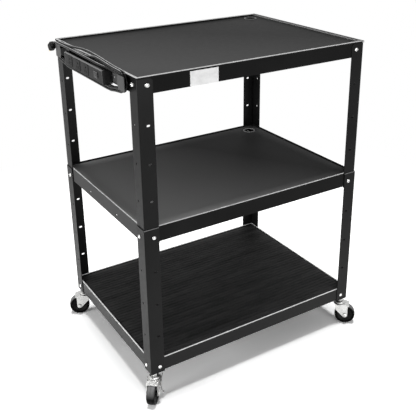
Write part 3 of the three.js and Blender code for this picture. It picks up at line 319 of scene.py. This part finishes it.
PLASTIC_PATCHES = (30.0, 3.0)
PATCH_TONES = (0.85, 1.15)
PLASTIC_GLOSS = (140.0, 3.0)
PLASTIC_ROUGHNESS = (0.35, 0.5)
PLASTIC_GRAIN = (1500.0, 0.00006)
GRAIN_DETAIL = 2.0
GRAIN_STRENGTH = 0.35
PLASTIC_EDGE = 0.0005
# Shade painted inside a form
DEEP_FADE = 0.0012
DEEP_TONE = 0.0005
# A highlight painted along an upper side, broken up by a noise
SHEEN_FACING = (0.88, 0.99)
SHEEN_BREAKUP = (26.0, 2.0)
SHEEN_BREAKUP_LEAST = 0.35

PLATING_PATCHES = (70.0, 4.0)
PLATING_DULL = 0.82
PLATING_GLOSS = (260.0, 4.0)
PLATING_PITS = (420.0, 3.0, 0.2, 0.0001)
PLATING_EDGE = 0.0004
# Shade painted in corners and crevices
CREVICE_REACH = 0.012
CREVICE_SAMPLES = 8
CREVICE_SPAN = (0.25, 0.9)
CREVICE_SHADE = 0.22

MAT_GRAIN = (38.0, 4.0)
MAT_GRAIN_ROUGHNESS = 0.6
MAT_GRAIN_STRETCH = (0.16, 1, 1)
MAT_TONES = (0.007, 0.034)
MAT_RELIEF = (0.3, 0.0008)
MAT_GLOSS = (120.0, 3.0, 0.5, 0.7)
MAT_SKIN = (900.0, 2.0, 0.3, 0.00008)
MAT_EDGE = 0.0006

# The tread's painted highlight: where it lies, how it breaks up, and the tyre's dark tone and highlight
# tone
TREAD_RADIUS = (0.0345, 0.0368)
TREAD_FACING = (0.05, 0.85)
TREAD_HIGHLIGHT_BREAKUP = (120.0, 4.0)
TREAD_HIGHLIGHT_BREAKUP_LEAST = 0.7
TYRE_TONES = (0.003, 0.17)
TYRE_GLOSS = (140.0, 3.0, 0.22, 0.34)
TYRE_SKIN = (900.0, 2.0, 0.3, 0.00002)


def moulded(name, tone, rough=PLASTIC_ROUGHNESS, specular=0.4, skin=PLASTIC_GRAIN, edge=PLASTIC_EDGE,
            deep=None, sunk=None, top_sheen=None):
    """Moulded plastic or rubber: fine grain and a slightly uneven gloss.

    skin is the grain's scale and depth. deep is the X beyond which the inside of the form is painted in
    shade, sunk the height below which it is, and top_sheen the tone of the highlight painted along the
    upper side.
    """
    made = Finish(name, specular=specular)
    patches = made.spread(made.noise(*PLASTIC_PATCHES), 0, 1)
    colour = made.mix(patches, *(grey(tone * share) for share in PATCH_TONES))
    # Painted shade inside the form beyond deep, and below sunk
    if deep:
        inside = made.spread(made.part("X"), 0, 1, (deep, deep + DEEP_FADE))
        colour = made.mix(inside, colour, grey(DEEP_TONE))
    if sunk:
        colour = made.mix(made.math("LESS_THAN", made.part("Z"), sunk), colour, grey(DEEP_TONE))
    # A highlight painted along the upper side, broken up by a noise
    if top_sheen:
        painted_sheen_breakup = made.spread(made.noise(*SHEEN_BREAKUP), SHEEN_BREAKUP_LEAST, 1)
        colour = made.mix(made.both(made.upward(SHEEN_FACING), painted_sheen_breakup), colour, grey(top_sheen))
    made.colour(colour)
    made.gloss(*PLASTIC_GLOSS, *rough)
    scale, depth = skin
    made.bump([made.grain(scale, GRAIN_DETAIL, GRAIN_STRENGTH, depth)], edge)
    return made


def plated(name, tone, rough=(0.14, 0.26)):
    """Bright plating: duller patches, a soft pitted skin, and painted shade in the corners."""
    made = Finish(name, metallic=1.0)
    patches = made.spread(made.noise(*PLATING_PATCHES), 0, 1)
    unshaded_plating = made.mix(patches, dimmed(tone, PLATING_DULL), tone)
    # Painted shade where the ambient occlusion finds corners and crevices
    around = made.node("ShaderNodeAmbientOcclusion", {"Distance": CREVICE_REACH}, samples=CREVICE_SAMPLES)
    is_open = made.spread(around.outputs["AO"], 0, 1, CREVICE_SPAN)
    made.colour(made.mix(is_open, dimmed(tone, CREVICE_SHADE), unshaded_plating))
    made.gloss(*PLATING_GLOSS, *rough)
    made.bump([made.grain(*PLATING_PITS)], PLATING_EDGE)
    return made


def ribbed_rubber():
    """The mat's rubber, with a grain along its ribs."""
    made = Finish("mat_rubber", specular=0.12)
    grain = made.noise(*MAT_GRAIN, MAT_GRAIN_ROUGHNESS, MAT_GRAIN_STRETCH)
    made.colour(made.mix(made.spread(grain, 0, 1), *(grey(tone) for tone in MAT_TONES)))
    made.gloss(*MAT_GLOSS)
    made.bump([(grain, *MAT_RELIEF), made.grain(*MAT_SKIN)], MAT_EDGE)
    return made


def tyre_rubber():
    """Black rubber, with a highlight painted on the tread where it faces up."""
    made = Finish("tyre_rubber", specular=0.03)
    flat = made.node("ShaderNodeVectorMath", {0: made.place, 1: (1, 1, 0)}, operation="MULTIPLY")
    radius = made.node("ShaderNodeVectorMath", {0: flat.outputs["Vector"]}, operation="LENGTH")
    # A highlight painted on the tread where it faces up, broken up by a noise
    tread = made.spread(radius.outputs["Value"], 0, 1, TREAD_RADIUS)
    painted_highlight_mask = made.both(tread, made.spread(made.noise(*TREAD_HIGHLIGHT_BREAKUP), TREAD_HIGHLIGHT_BREAKUP_LEAST, 1))
    lit = made.both(painted_highlight_mask, made.upward(TREAD_FACING))
    made.colour(made.mix(lit, *(grey(tone) for tone in TYRE_TONES)))
    made.gloss(*TYRE_GLOSS)
    made.bump([made.grain(*TYRE_SKIN)])
    return made


# The cord, on the same route as in the part's source

CORD_DIAMETER = 0.007
CORD_ROUNDNESS = 4
CORD_PITCH = 0.008
CORD_EXIT = Vector((-0.4124, 0.1689, 1.04855))
HANK_Z = 1.0412
FIRST_LAYER_X = -0.4105
LAYER_X = tuple(FIRST_LAYER_X - CORD_PITCH * layer for layer in range(3))
INNER_RADIUS = 0.021
RING_RADII = tuple(INNER_RADIUS + CORD_PITCH * ring for ring in range(2))
TURN_CENTRE_Y = 0.225
LOOP_PLACES = ((0, 0), (0, 1), (1, 1), (1, 0))
TAIL_PLACE = (2, 0)
CHANGE_SHARES = ((0.76, 0.98), (0.54, 0.76), (0.32, 0.54), (0.1, 0.32))
TAIL_LIFT_SHARES = (0.5, 0.9)
TAIL_LIFT = 0.005
UPPER_BOWS = (0.0046, 0.010)
LOWER_SAG = 0.0096
SAG_REACH = 0.072
TURN_STEPS = 10
LOWER_STEPS = 16
UPPER_STEPS = 20
LEAD_STEPS = 8
LEAD_STRAIGHT = 0.007
TAIL_LEVEL_Y = 0.243
TAIL_RADIUS = 0.028
PLUG_DROP = math.radians(32)
PLUG_AXIS = Vector((0, math.cos(PLUG_DROP), -math.sin(PLUG_DROP)))


def smooth(share):
    share = min(max(share, 0.0), 1.0)
    return share * share * (3 - 2 * share)


def ramp(share, span):
    return smooth((share - span[0]) / (span[1] - span[0]))


def between(first, second, share):
    return first + (second - first) * share


def turn_point(share, place, end):
    """A point of the turn round one ear: end is 1 for the rear ear and -1 for the front one."""
    layer, ring = place
    angle = end * math.pi * (0.5 - share)
    radius = RING_RADII[ring]
    return Vector((LAYER_X[layer], end * (TURN_CENTRE_Y + radius * math.cos(angle)),
                   HANK_Z + radius * math.sin(angle)))


def lower_point(share, place):
    """A point of the strand that hangs from the rear ear to the front one."""
    layer, ring = place
    y = TURN_CENTRE_Y * (1 - 2 * share)
    sag = LOWER_SAG * smooth((TURN_CENTRE_Y - abs(y)) / SAG_REACH)
    return Vector((LAYER_X[layer], y, HANK_Z - RING_RADII[ring] - sag))


def upper_point(share, place, next_place, change_shares, lift):
    """A point of the strand back to the rear ear, which moves over to the next place on its way."""
    moved = ramp(share, change_shares)
    x = between(LAYER_X[place[0]], LAYER_X[next_place[0]], moved)
    radius = between(RING_RADII[place[1]], RING_RADII[next_place[1]], moved)
    bow = between(UPPER_BOWS[place[1]], UPPER_BOWS[next_place[1]], moved) * math.sin(math.pi * share) ** 2
    rise = lift * ramp(share, TAIL_LIFT_SHARES)
    return Vector((x, TURN_CENTRE_Y * (2 * share - 1), HANK_Z + radius + bow + rise))


def cord_points():
    """The route of the cord: the lead, four loops round the ears, and the tail to the plug."""
    first = turn_point(0, LOOP_PLACES[0], 1)
    lead_start = CORD_EXIT + Vector((0, LEAD_STRAIGHT, 0))
    points = [CORD_EXIT.copy(), between(CORD_EXIT, lead_start, 0.5)]
    for step in range(LEAD_STEPS):
        share = step / LEAD_STEPS
        points.append(Vector((between(lead_start.x, first.x, smooth(share)),
                              between(lead_start.y, first.y, share),
                              between(lead_start.z, first.z, smooth(share)))))
    next_places = LOOP_PLACES[1:] + (TAIL_PLACE,)
    lifts = (0, 0, 0, TAIL_LIFT)
    for place, *change in zip(LOOP_PLACES, next_places, CHANGE_SHARES, lifts):
        points += [turn_point(step / TURN_STEPS, place, 1) for step in range(TURN_STEPS)]
        points += [lower_point(step / LOWER_STEPS, place) for step in range(LOWER_STEPS)]
        points += [turn_point(step / TURN_STEPS, place, -1) for step in range(TURN_STEPS)]
        points += [upper_point(step / UPPER_STEPS, place, *change) for step in range(UPPER_STEPS)]
    tail = upper_point(1, LOOP_PLACES[-1], TAIL_PLACE, CHANGE_SHARES[-1], TAIL_LIFT)
    points.append(tail)
    for step in range(TURN_STEPS + 1):
        angle = PLUG_DROP * step / TURN_STEPS
        points.append(Vector((tail.x, TAIL_LEVEL_Y + TAIL_RADIUS * math.sin(angle),
                              tail.z - TAIL_RADIUS * (1 - math.cos(angle)))))
    points.append(points[-1] + PLUG_AXIS * LEAD_STRAIGHT)
    return points


def add_cord(finish):
    points = cord_points()
    curve = bpy.data.curves.new("mains_cord", "CURVE")
    curve.dimensions = "3D"
    curve.bevel_depth = CORD_DIAMETER / 2
    curve.bevel_resolution = CORD_ROUNDNESS
    curve.use_fill_caps = True
    line = curve.splines.new("POLY")
    line.points.add(len(points) - 1)
    for target, point in zip(line.points, points):
        target.co = (*point, 1)
    curve.materials.append(finish.material)
    piece = add_object("mains_cord", curve)
    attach(piece, "cart_frame")
    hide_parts("power_cord")


# The plug: its relief as (reach, radius), and its body as (reach, half width, half height)

PLUG_GAP = 0.0003
PLUG_SIDES = 40
PLUG_RELIEF = (
    (0.0, 0.0046), (0.0012, 0.0048), (0.0016, 0.0041), (0.0024, 0.0042), (0.0028, 0.0053),
    (0.0040, 0.0056), (0.0044, 0.0049), (0.0052, 0.0050), (0.0056, 0.0062), (0.0068, 0.0066),
)
PLUG_BODY = (
    (0.0080, 0.0072, 0.0078), (0.0094, 0.0094, 0.0105), (0.0110, 0.0103, 0.0124),
    (0.0132, 0.0105, 0.0130), (0.0160, 0.0103, 0.0127),
    (0.0166, 0.0095, 0.0119), (0.0178, 0.0095, 0.0118), (0.0184, 0.0101, 0.0124), (0.0196, 0.0101, 0.0124),
    (0.0202, 0.0093, 0.0116), (0.0214, 0.0093, 0.0116), (0.0220, 0.0101, 0.0124), (0.0232, 0.0101, 0.0124),
    (0.0238, 0.0095, 0.0118), (0.0250, 0.0096, 0.0120), (0.0256, 0.0104, 0.0129),
    (0.0308, 0.0105, 0.0130), (0.0318, 0.0100, 0.0125), (0.0320, 0.0092, 0.0117),
)
ROUND_POWER = 2.0
SQUARE_POWER = 3.6


def add_plug(finish):
    """A moulded plug: a ribbed relief that widens into a body with finger grooves, along the cord's end."""
    start = cord_points()[-1] + PLUG_AXIS * PLUG_GAP
    upward = Vector((1, 0, 0)).cross(PLUG_AXIS)
    rows = [(reach, radius, radius, ROUND_POWER) for reach, radius in PLUG_RELIEF]
    rows += [(reach, wide, high, SQUARE_POWER) for reach, wide, high in PLUG_BODY]

    def rounded(value, power):
        return math.copysign(abs(value) ** (2 / power), value)

    def fill(shape):
        rings = []
        for reach, wide, high, power in rows:
            ring = []
            for step in range(PLUG_SIDES):
                angle = 2 * math.pi * step / PLUG_SIDES
                aside = Vector((wide * rounded(math.cos(angle), power), 0, 0))
                lift = upward * high * rounded(math.sin(angle), power)
                ring.append(shape.verts.new(start + PLUG_AXIS * reach + aside + lift))
            rings.append(ring)
        bridge_closed(shape, rings)

    mesh = mesh_from("mains_plug", fill)
    shade(mesh, ROUND_SHARP_ANGLE)
    mesh.materials.append(finish.material)
    piece = add_object("mains_plug", mesh)
    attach(piece, "cart_frame")
    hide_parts("plug_body")
    return piece


# The tyres: half a section as (radius, distance from the middle), and the way each wheel trails in degrees

TYRE_TRAILS = {"front_left": 228, "front_right": 318, "rear_left": 158, "rear_right": 42}
TYRE_SIDES = 72
TYRE_HALF_SECTION = (
    (0.0270, 0.0126), (0.0276, 0.0133), (0.0290, 0.0135), (0.0294, 0.0128), (0.0302, 0.0128),
    (0.0306, 0.0138), (0.0325, 0.0140), (0.0340, 0.0136), (0.0353, 0.0127), (0.0362, 0.0114),
    (0.0366, 0.0099), (0.0371, 0.0060), (0.0374, 0.0006), (0.0372, 0.0003),
)
WELD = 0.000001


def add_tyres(finish):
    """Solid rubber tyres with a bead ring on each side and the mould's line round the tread."""
    outline = [(radius, -aside) for radius, aside in TYRE_HALF_SECTION]
    outline += [(radius, aside) for radius, aside in reversed(TYRE_HALF_SECTION)]

    def fill(shape):
        lathe(shape, outline + outline[:1], TYRE_SIDES)
        bmesh.ops.remove_doubles(shape, verts=shape.verts, dist=WELD)

    mesh = mesh_from("tyre", fill)
    shade(mesh, ROUND_SHARP_ANGLE)
    mesh.materials.append(finish.material)
    for corner, trail in TYRE_TRAILS.items():
        low, high = (Vector(end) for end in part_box(f"tyre_{corner}"))
        piece = add_object(f"tyre_piece_{corner}", mesh)
        turn = Matrix.Rotation(math.radians(trail), 4, "Z") @ Matrix.Rotation(math.pi / 2, 4, "X")
        piece.matrix_world = Matrix.Translation((low + high) / 2) @ turn
        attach(piece, f"wheel_{corner}")
        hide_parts(f"tyre_{corner}")


# Floor, light and background

FLOOR_RADIUS = 14.0
FLOOR_SIDES = 64
SHADE_REACH = (1.1, 1.9)
FLOOR_TONE = 1.3
FLOOR_BOUNCE_TONE = 0.4
WORLD_LEVEL = 0.25
OVERHEAD_LEVEL = 0.85
OVERHEAD_SPREAD = math.radians(15)
LAMP_SIZE = 1.6
LAMP_TARGET = Vector((0, 0, 0.6))
LAMPS = (
    ("front_lamp", Vector((0.4, -4.2, 0.8)), 0.5),
    ("left_lamp", Vector((-4.2, 0.1, 0.5)), 1.1),
)


def seen_directly(tree):
    """1 for camera, glossy and transmission rays, which see the background as white."""
    path = tree.nodes.new("ShaderNodeLightPath")
    total = path.outputs["Is Camera Ray"]
    for name in ("Is Glossy Ray", "Is Transmission Ray"):
        add = tree.nodes.new("ShaderNodeMath")
        add.operation = "MAXIMUM"
        tree.links.new(total, add.inputs[0])
        tree.links.new(path.outputs[name], add.inputs[1])
        total = add.outputs[0]
    return total


def floor_finish():
    """Pale floor that keeps the shadow near the cart and is plain white further out."""
    made = Finish("studio_floor")
    distance = made.node("ShaderNodeVectorMath", {0: made.place}, operation="LENGTH").outputs["Value"]
    far = made.spread(distance, 0, 1, SHADE_REACH)
    shaded = made.node("ShaderNodeBsdfDiffuse", {"Color": (*grey(FLOOR_TONE), 1)}).outputs[0]
    white = made.node("ShaderNodeEmission", {"Strength": 1.0}).outputs[0]
    bounce = made.node("ShaderNodeBsdfDiffuse", {"Color": (*grey(FLOOR_BOUNCE_TONE), 1)}).outputs[0]
    shown = made.mix_shader(far, shaded, white)
    made.surface(made.mix_shader(seen_directly(made.tree), bounce, shown))
    return made


def add_floor():
    def fill(shape):
        bmesh.ops.create_circle(shape, cap_ends=True, segments=FLOOR_SIDES, radius=FLOOR_RADIUS)

    floor = add_object("studio_floor", mesh_from("studio_floor", fill))
    floor.data.materials.append(floor_finish().material)


def add_world():
    world = bpy.data.worlds.new("studio")
    bpy.context.scene.world = world
    world.use_nodes = True
    tree = world.node_tree
    background = tree.nodes["Background"]
    background.inputs["Color"].default_value = (1, 1, 1, 1)
    level = tree.nodes.new("ShaderNodeMapRange")
    level.inputs["To Min"].default_value = WORLD_LEVEL
    level.inputs["To Max"].default_value = 1.0
    tree.links.new(seen_directly(tree), level.inputs["Value"])
    tree.links.new(level.outputs["Result"], background.inputs["Strength"])


def add_overhead_light(name, level, spread_angle):
    """Parallel light from straight above, level times what makes white look white."""
    lamp = bpy.data.lights.new(name, "SUN")
    lamp.energy = level * math.pi
    lamp.angle = spread_angle
    add_object(name, lamp)


def add_lamp(name, place, level):
    """A square lamp whose light at the target is level times what makes white look white."""
    offset = LAMP_TARGET - place
    lamp = bpy.data.lights.new(name, "AREA")
    lamp.shape = "SQUARE"
    lamp.size = LAMP_SIZE
    lamp.energy = level * (math.pi * offset.length) ** 2
    holder = add_object(name, lamp)
    holder.matrix_world = Matrix.Translation(place) @ offset.to_track_quat("-Z", "Y").to_matrix().to_4x4()


# Places on the steelwork, as its nodes have them
# The lower legs stand flush with the top shelf's rim, and the upper legs with the bottom shelf's sides.

TOP_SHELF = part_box("top_shelf")[1]
MIDDLE_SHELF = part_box("middle_shelf")[1]
BOTTOM_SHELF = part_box("bottom_shelf")[1]
LOWER_LEG_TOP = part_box("lower_leg_front_left")[1][2]
LOWER_LEG_FACES = TOP_SHELF[:2]
UPPER_LEG_FACES = BOTTOM_SHELF[:2]

# The screws: a pan head as (radius, height), and the cross in it

BOTTOM_BOLT_HEIGHT = 0.127
SHELF_SPACING = 0.4572
SHELF_LEVELS = ("bottom", "middle", "top")
BOLT_INSET = 0.031
HEAD_SIDES = 28
HEAD_PROFILE = (
    (0.0, -0.0002), (0.0063, -0.0002), (0.00635, 0.0009), (0.0061, 0.0019), (0.0054, 0.0030),
    (0.0043, 0.0039), (0.0030, 0.0044), (0.0, 0.0046),
)
RECESS_REACH = 0.0030
RECESS_HALF = 0.00055
RECESS_ROWS = ((0.0036, 0.55), (0.0060, 1.25))
SPIN_START = 0.7
SPIN_BY_FACE = 1.9
SPIN_BY_HEIGHT = 37
SPIN_BY_SIDE = 0.5


def recess(shape):
    """A cross with a wedge foot, cut into the head: each row is a height and a share of the full width."""
    outline = []
    for quarter in range(4):
        angle = quarter * math.pi / 2
        arm = ((RECESS_HALF, RECESS_HALF), (RECESS_REACH, RECESS_HALF), (RECESS_REACH, -RECESS_HALF))
        for x, y in arm:
            outline.append((x * math.cos(angle) + y * math.sin(angle),
                            -x * math.sin(angle) + y * math.cos(angle)))
    bridge_closed(shape, [[shape.verts.new((x * share, y * share, height)) for x, y in outline]
                          for height, share in RECESS_ROWS])


def screw_mesh():
    """A pan head with a cross recess, its bearing face at z 0."""
    body = add_object("screw_head_form",
                      mesh_from("screw_head", lambda shape: lathe(shape, HEAD_PROFILE, HEAD_SIDES)))
    cutter = add_object("screw_recess_form", mesh_from("screw_recess", recess))
    cut = body.modifiers.new("recess", "BOOLEAN")
    cut.operation = "DIFFERENCE"
    cut.solver = "EXACT"
    cut.object = cutter
    bpy.context.view_layer.update()
    shown = body.evaluated_get(bpy.context.evaluated_depsgraph_get())
    result = bpy.data.meshes.new_from_object(shown)
    bpy.data.objects.remove(cutter)
    bpy.data.objects.remove(body)
    shade(result, SHARP_ANGLE)
    return result


def add_screws(finish):
    """Two heads on each leg at each shelf, one on the side flange and one on the end flange."""
    mesh = screw_mesh()
    mesh.materials.clear()
    mesh.materials.append(finish.material)
    corners = (("front_left", -1, -1), ("front_right", 1, -1), ("rear_left", -1, 1), ("rear_right", 1, 1))
    for corner, side_x, side_y in corners:
        for level, level_name in enumerate(SHELF_LEVELS):
            height = BOTTOM_BOLT_HEIGHT + SHELF_SPACING * level
            face_x, face_y = UPPER_LEG_FACES if level_name == "top" else LOWER_LEG_FACES
            across = Matrix.Translation((side_x * face_x, side_y * (face_y - BOLT_INSET), height))
            along = Matrix.Translation((side_x * (face_x - BOLT_INSET), side_y * face_y, height))
            turns = (("side", across @ Matrix.Rotation(side_x * math.pi / 2, 4, "Y")),
                     ("end", along @ Matrix.Rotation(-side_y * math.pi / 2, 4, "X")))
            for face, (face_name, place) in enumerate(turns):
                spin = (SPIN_START + SPIN_BY_FACE * face + SPIN_BY_HEIGHT * height
                        + SPIN_BY_SIDE * side_x - side_y)
                piece = add_object(f"screw_head_{corner}_{level_name}_{face_name}", mesh)
                piece.matrix_world = place @ Matrix.Rotation(spin, 4, "Z")
                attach(piece, "cart_frame")


# The bare plate on the top shelf's front skirt, whose face is right above that of the middle shelf

LABEL_LEFT = -0.2395
LABEL_RIGHT = -0.1465
LABEL_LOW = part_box("top_shelf")[0][2]
LABEL_DROP = 0.0056
LABEL_HIGH = TOP_SHELF[2] - LABEL_DROP
LABEL_FACE_Y = -MIDDLE_SHELF[1]
LABEL_HALF_THICKNESS = 0.0005
LABEL_CORNER = 0.0015
LABEL_CORNER_STEPS = 4


def add_label_plate(finish):
    def fill(shape):
        outline = []
        corners = ((LABEL_RIGHT, LABEL_HIGH, -1, -1), (LABEL_LEFT, LABEL_HIGH, 1, -1),
                   (LABEL_LEFT, LABEL_LOW, 1, 1), (LABEL_RIGHT, LABEL_LOW, -1, 1))
        for quarter, (x, z, inward_x, inward_z) in enumerate(corners):
            for step in range(LABEL_CORNER_STEPS + 1):
                angle = (quarter + step / LABEL_CORNER_STEPS) * math.pi / 2
                outline.append((x + LABEL_CORNER * (inward_x + math.cos(angle)),
                                z + LABEL_CORNER * (inward_z + math.sin(angle))))
        bridge_closed(shape, [[shape.verts.new((x, LABEL_FACE_Y + depth, z)) for x, z in outline]
                              for depth in (LABEL_HALF_THICKNESS, -LABEL_HALF_THICKNESS)])

    mesh = mesh_from("label_plate", fill)
    mesh.materials.append(finish.material)
    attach(add_object("label_plate", mesh), "cart_frame")


# Finishes of the model's nodes

ABOVE_RIM = 0.004
LIP_REACH = 0.0058
RIGHT_LIP_REACH = 0.0102
LIP_FOOT_RISE = 0.0002
TOP_LIP_BAND = 0.002
MIDDLE_LIP_BAND = 0.0025
SKIRT_BAND = 0.0015
SKIRT_SHEET = 0.0018
STRIP_EDGE_REACH = 0.0036
STRIP_EDGE_DEPTH = 0.00345
LAP_REACH = 0.002
LAP_DEPTH = 0.0014
GROMMET_RING = 0.0012
OUTLET_RELIEF = 0.0007
NUT_FACES = (0.4012, 0.2997)
NUT_LOWEST = 0.112
FACE_MARGIN = 0.00008
SCREW_TONE = (0.7, 0.7, 0.69)
SCREW_ROUGHNESS = 0.3
ZINC_TONE = (0.72, 0.72, 0.71)
CASTER_ZINC_TONE = (0.6, 0.6, 0.59)
BRASS_TONE = (0.78, 0.62, 0.34)


def top_crests():
    """Painted light and shade on the lips at the rear and right of the top shelf: the rear one dim, without
    the rim's painted highlight, and the right one dim on top, with painted light in a bright line at its
    foot.
    """
    width, depth, rim = TOP_SHELF
    band = rim - TOP_LIP_BAND
    foot = rim - TRAY_DEPTH + LIP_FOOT_RISE
    return (
        Crest(axis="Y", side=1, beyond=depth - LIP_REACH, low=band, high=rim + ABOVE_RIM, tone=0.03),
        Crest(axis="X", side=1, beyond=width - RIGHT_LIP_REACH, low=foot, high=band, tone=0.6),
        Crest(axis="X", side=1, beyond=width - RIGHT_LIP_REACH, low=band, high=rim + ABOVE_RIM, tone=0.09),
    )


def middle_crests():
    """Painted light on the left skirt of the middle shelf, and its lips at the rear and right kept dark,
    without the rim's painted highlight.
    """
    width, depth, rim = MIDDLE_SHELF
    band = rim - MIDDLE_LIP_BAND
    return (
        Crest(axis="X", side=-1, beyond=width - SKIRT_SHEET, low=0, high=rim - SKIRT_BAND, tone=0.06),
        Crest(axis="Y", side=1, beyond=depth - LIP_REACH, low=band, high=rim + ABOVE_RIM, tone=0.012),
        Crest(axis="X", side=1, beyond=width - LIP_REACH, low=band, high=rim + ABOVE_RIM, tone=0.012),
    )


def strip_crests():
    """A highlight painted along the upper outer edge of the power strip's housing."""
    low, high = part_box("strip_housing")
    return (Crest(axis="X", side=-1, beyond=-low[0] - STRIP_EDGE_REACH, low=high[2] - STRIP_EDGE_DEPTH,
                  high=high[2] + ABOVE_RIM, tone=0.14),)


def lap_crests():
    """A highlight painted along the top edge of the front legs' lower sections, where they lap the upper
    ones.
    """
    return (Crest(axis="Y", side=-1, beyond=LOWER_LEG_FACES[1] - LAP_REACH, low=LOWER_LEG_TOP - LAP_DEPTH,
                  high=LOWER_LEG_TOP + ABOVE_RIM, tone=0.2),)


def leg_finish(name, faces, crests=()):
    """Powder coat, and zinc for what stands out of the two flanges: the screws and their nuts."""
    made = powder_coat(name, dark=0.004, light=0.008, rough=(0.32, 0.4), specular=0.09, crests=crests)
    across = made.math("ABSOLUTE", made.part("X"))
    along = made.math("ABSOLUTE", made.part("Y"))
    outside = made.math("MAXIMUM", made.math("GREATER_THAN", across, faces[0] + FACE_MARGIN),
                        made.math("GREATER_THAN", along, faces[1] + FACE_MARGIN))
    inner = made.both(made.math("LESS_THAN", across, NUT_FACES[0]),
                      made.math("LESS_THAN", along, NUT_FACES[1]))
    nut = made.both(inner, made.math("GREATER_THAN", made.part("Z"), NUT_LOWEST))
    zinc = made.node("ShaderNodeBsdfPrincipled", {"Base Color": (*SCREW_TONE, 1), "Metallic": 1.0,
                                                  "Roughness": SCREW_ROUGHNESS})
    is_metal = made.math("MAXIMUM", outside, nut)
    made.surface(made.mix_shader(is_metal, made.shader.outputs[0], zinc.outputs[0]))
    return made


def grommet_finish(name, node, tone):
    """A moulded ring round a hole painted in shade."""
    return moulded(name, tone, specular=0.02, sunk=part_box(node)[1][2] - GROMMET_RING)


def shelf_finishes():
    # Each rim's edge tone is a painted highlight, and its near and far tones paint light and shade on the
    # tray's floor
    top_rim = Rim(height=TOP_SHELF[2], edge=0.55, near=0.054, far=0.014, lean=1)
    middle_rim = Rim(height=MIDDLE_SHELF[2], edge=0.8, near=0.4, far=0.07, lean=0.6)
    bottom_rim = Rim(height=BOTTOM_SHELF[2], edge=0.9, near=0.02, far=0.01, lean=1)
    return (
        ("top_shelf", powder_coat("top_shelf_coat", dark=0.011, light=0.015, rough=(0.34, 0.38),
                                  specular=0.006, rim=top_rim, crests=top_crests())),
        ("middle_shelf", powder_coat("middle_shelf_coat", dark=0.012, light=0.017, rough=(0.5, 0.54),
                                     specular=0.01, rim=middle_rim, crests=middle_crests())),
        ("bottom_shelf", powder_coat("bottom_shelf_coat", dark=0.006, light=0.009, rim=bottom_rim)),
    )


def strip_finishes(zinc, cord_finish):
    outlet_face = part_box("outlet_1")[0][0] + OUTLET_RELIEF
    return (
        ("cord_wrap_bracket", powder_coat("bracket_powder_coat", dark=0.05, light=0.07)),
        ("strip_housing", powder_coat("strip_powder_coat", dark=0.009, light=0.014, specular=0.06,
                                      crests=strip_crests())),
        ("strip_cap", moulded("strip_cap_plastic", tone=0.01)),
        ("strip_", zinc),
        # The outlets' insides, beyond their faces, are painted in shade
        ("outlet", moulded("outlet_plastic", tone=0.014, rough=(0.4, 0.5), specular=0.06,
                           deep=outlet_face)),
        ("switch_frame", moulded("black_plastic", tone=0.045)),
        ("switch_rocker", moulded("grey_plastic", tone=0.055, specular=0.12)),
        ("cord_relief", cord_finish),
        ("power_cord", cord_finish),
        ("plug_body", cord_finish),
        ("plug_", plated("brass_blades", BRASS_TONE)),
    )


def caster_finishes(tyre_finish):
    caster_zinc = plated("caster_zinc", CASTER_ZINC_TONE, rough=(0.2, 0.34))
    metal_names = ("fork", "axle", "stem_nut", "caster_stem", "brake_lever")
    return (
        ("tyre", tyre_finish),
        ("hub", moulded("hub_plastic", tone=0.005, specular=0.08)),
        *((name, caster_zinc) for name in metal_names),
    )


def frame_finishes():
    return (
        ("upper_leg", leg_finish("upper_leg_powder_coat", UPPER_LEG_FACES)),
        ("lower_leg", leg_finish("lower_leg_powder_coat", LOWER_LEG_FACES, lap_crests())),
        ("bottom_mat", ribbed_rubber()),
        # The grommets' rings carry painted highlights in their tones, the middle one lighter than the top
        # one
        ("top_grommet", grommet_finish("top_grommet_plastic", "top_grommet", 0.13)),
        ("middle_grommet", grommet_finish("middle_grommet_plastic", "middle_grommet", 0.34)),
    )


def paint_nodes(finishes):
    """Gives each node of the model the finish of the first rule whose words start its name."""
    for name, node in nodes.items():
        chosen = next(finish for start, finish in finishes if name.startswith(start))
        node.data.materials.clear()
        node.data.materials.append(chosen.material)


def main():
    bpy.context.scene.view_settings.view_transform = "Standard"
    add_camera()
    # The cord gets a highlight painted along its upper side
    cord_finish = moulded("cord_pvc", tone=0.004, rough=(0.16, 0.24), specular=0.12, skin=(700.0, 0.00003),
                          edge=0, top_sheen=0.6)
    plug = add_plug(moulded("plug_pvc", tone=0.006, rough=(0.3, 0.42), specular=0.12))
    add_cord(cord_finish)
    tyre_finish = tyre_rubber()
    add_tyres(tyre_finish)

    zinc = plated("zinc_plating", ZINC_TONE)
    paint_nodes(frame_finishes() + strip_finishes(zinc, cord_finish) + caster_finishes(tyre_finish)
                + shelf_finishes())
    add_screws(zinc)
    add_label_plate(moulded("label_film", tone=0.8, rough=(0.3, 0.4), specular=0.5, skin=(500.0, 0.00004),
                            edge=0))

    add_floor()
    add_world()
    add_overhead_light("over_light", OVERHEAD_LEVEL, OVERHEAD_SPREAD)
    for name, place, level in LAMPS:
        add_lamp(name, place, level)


main()
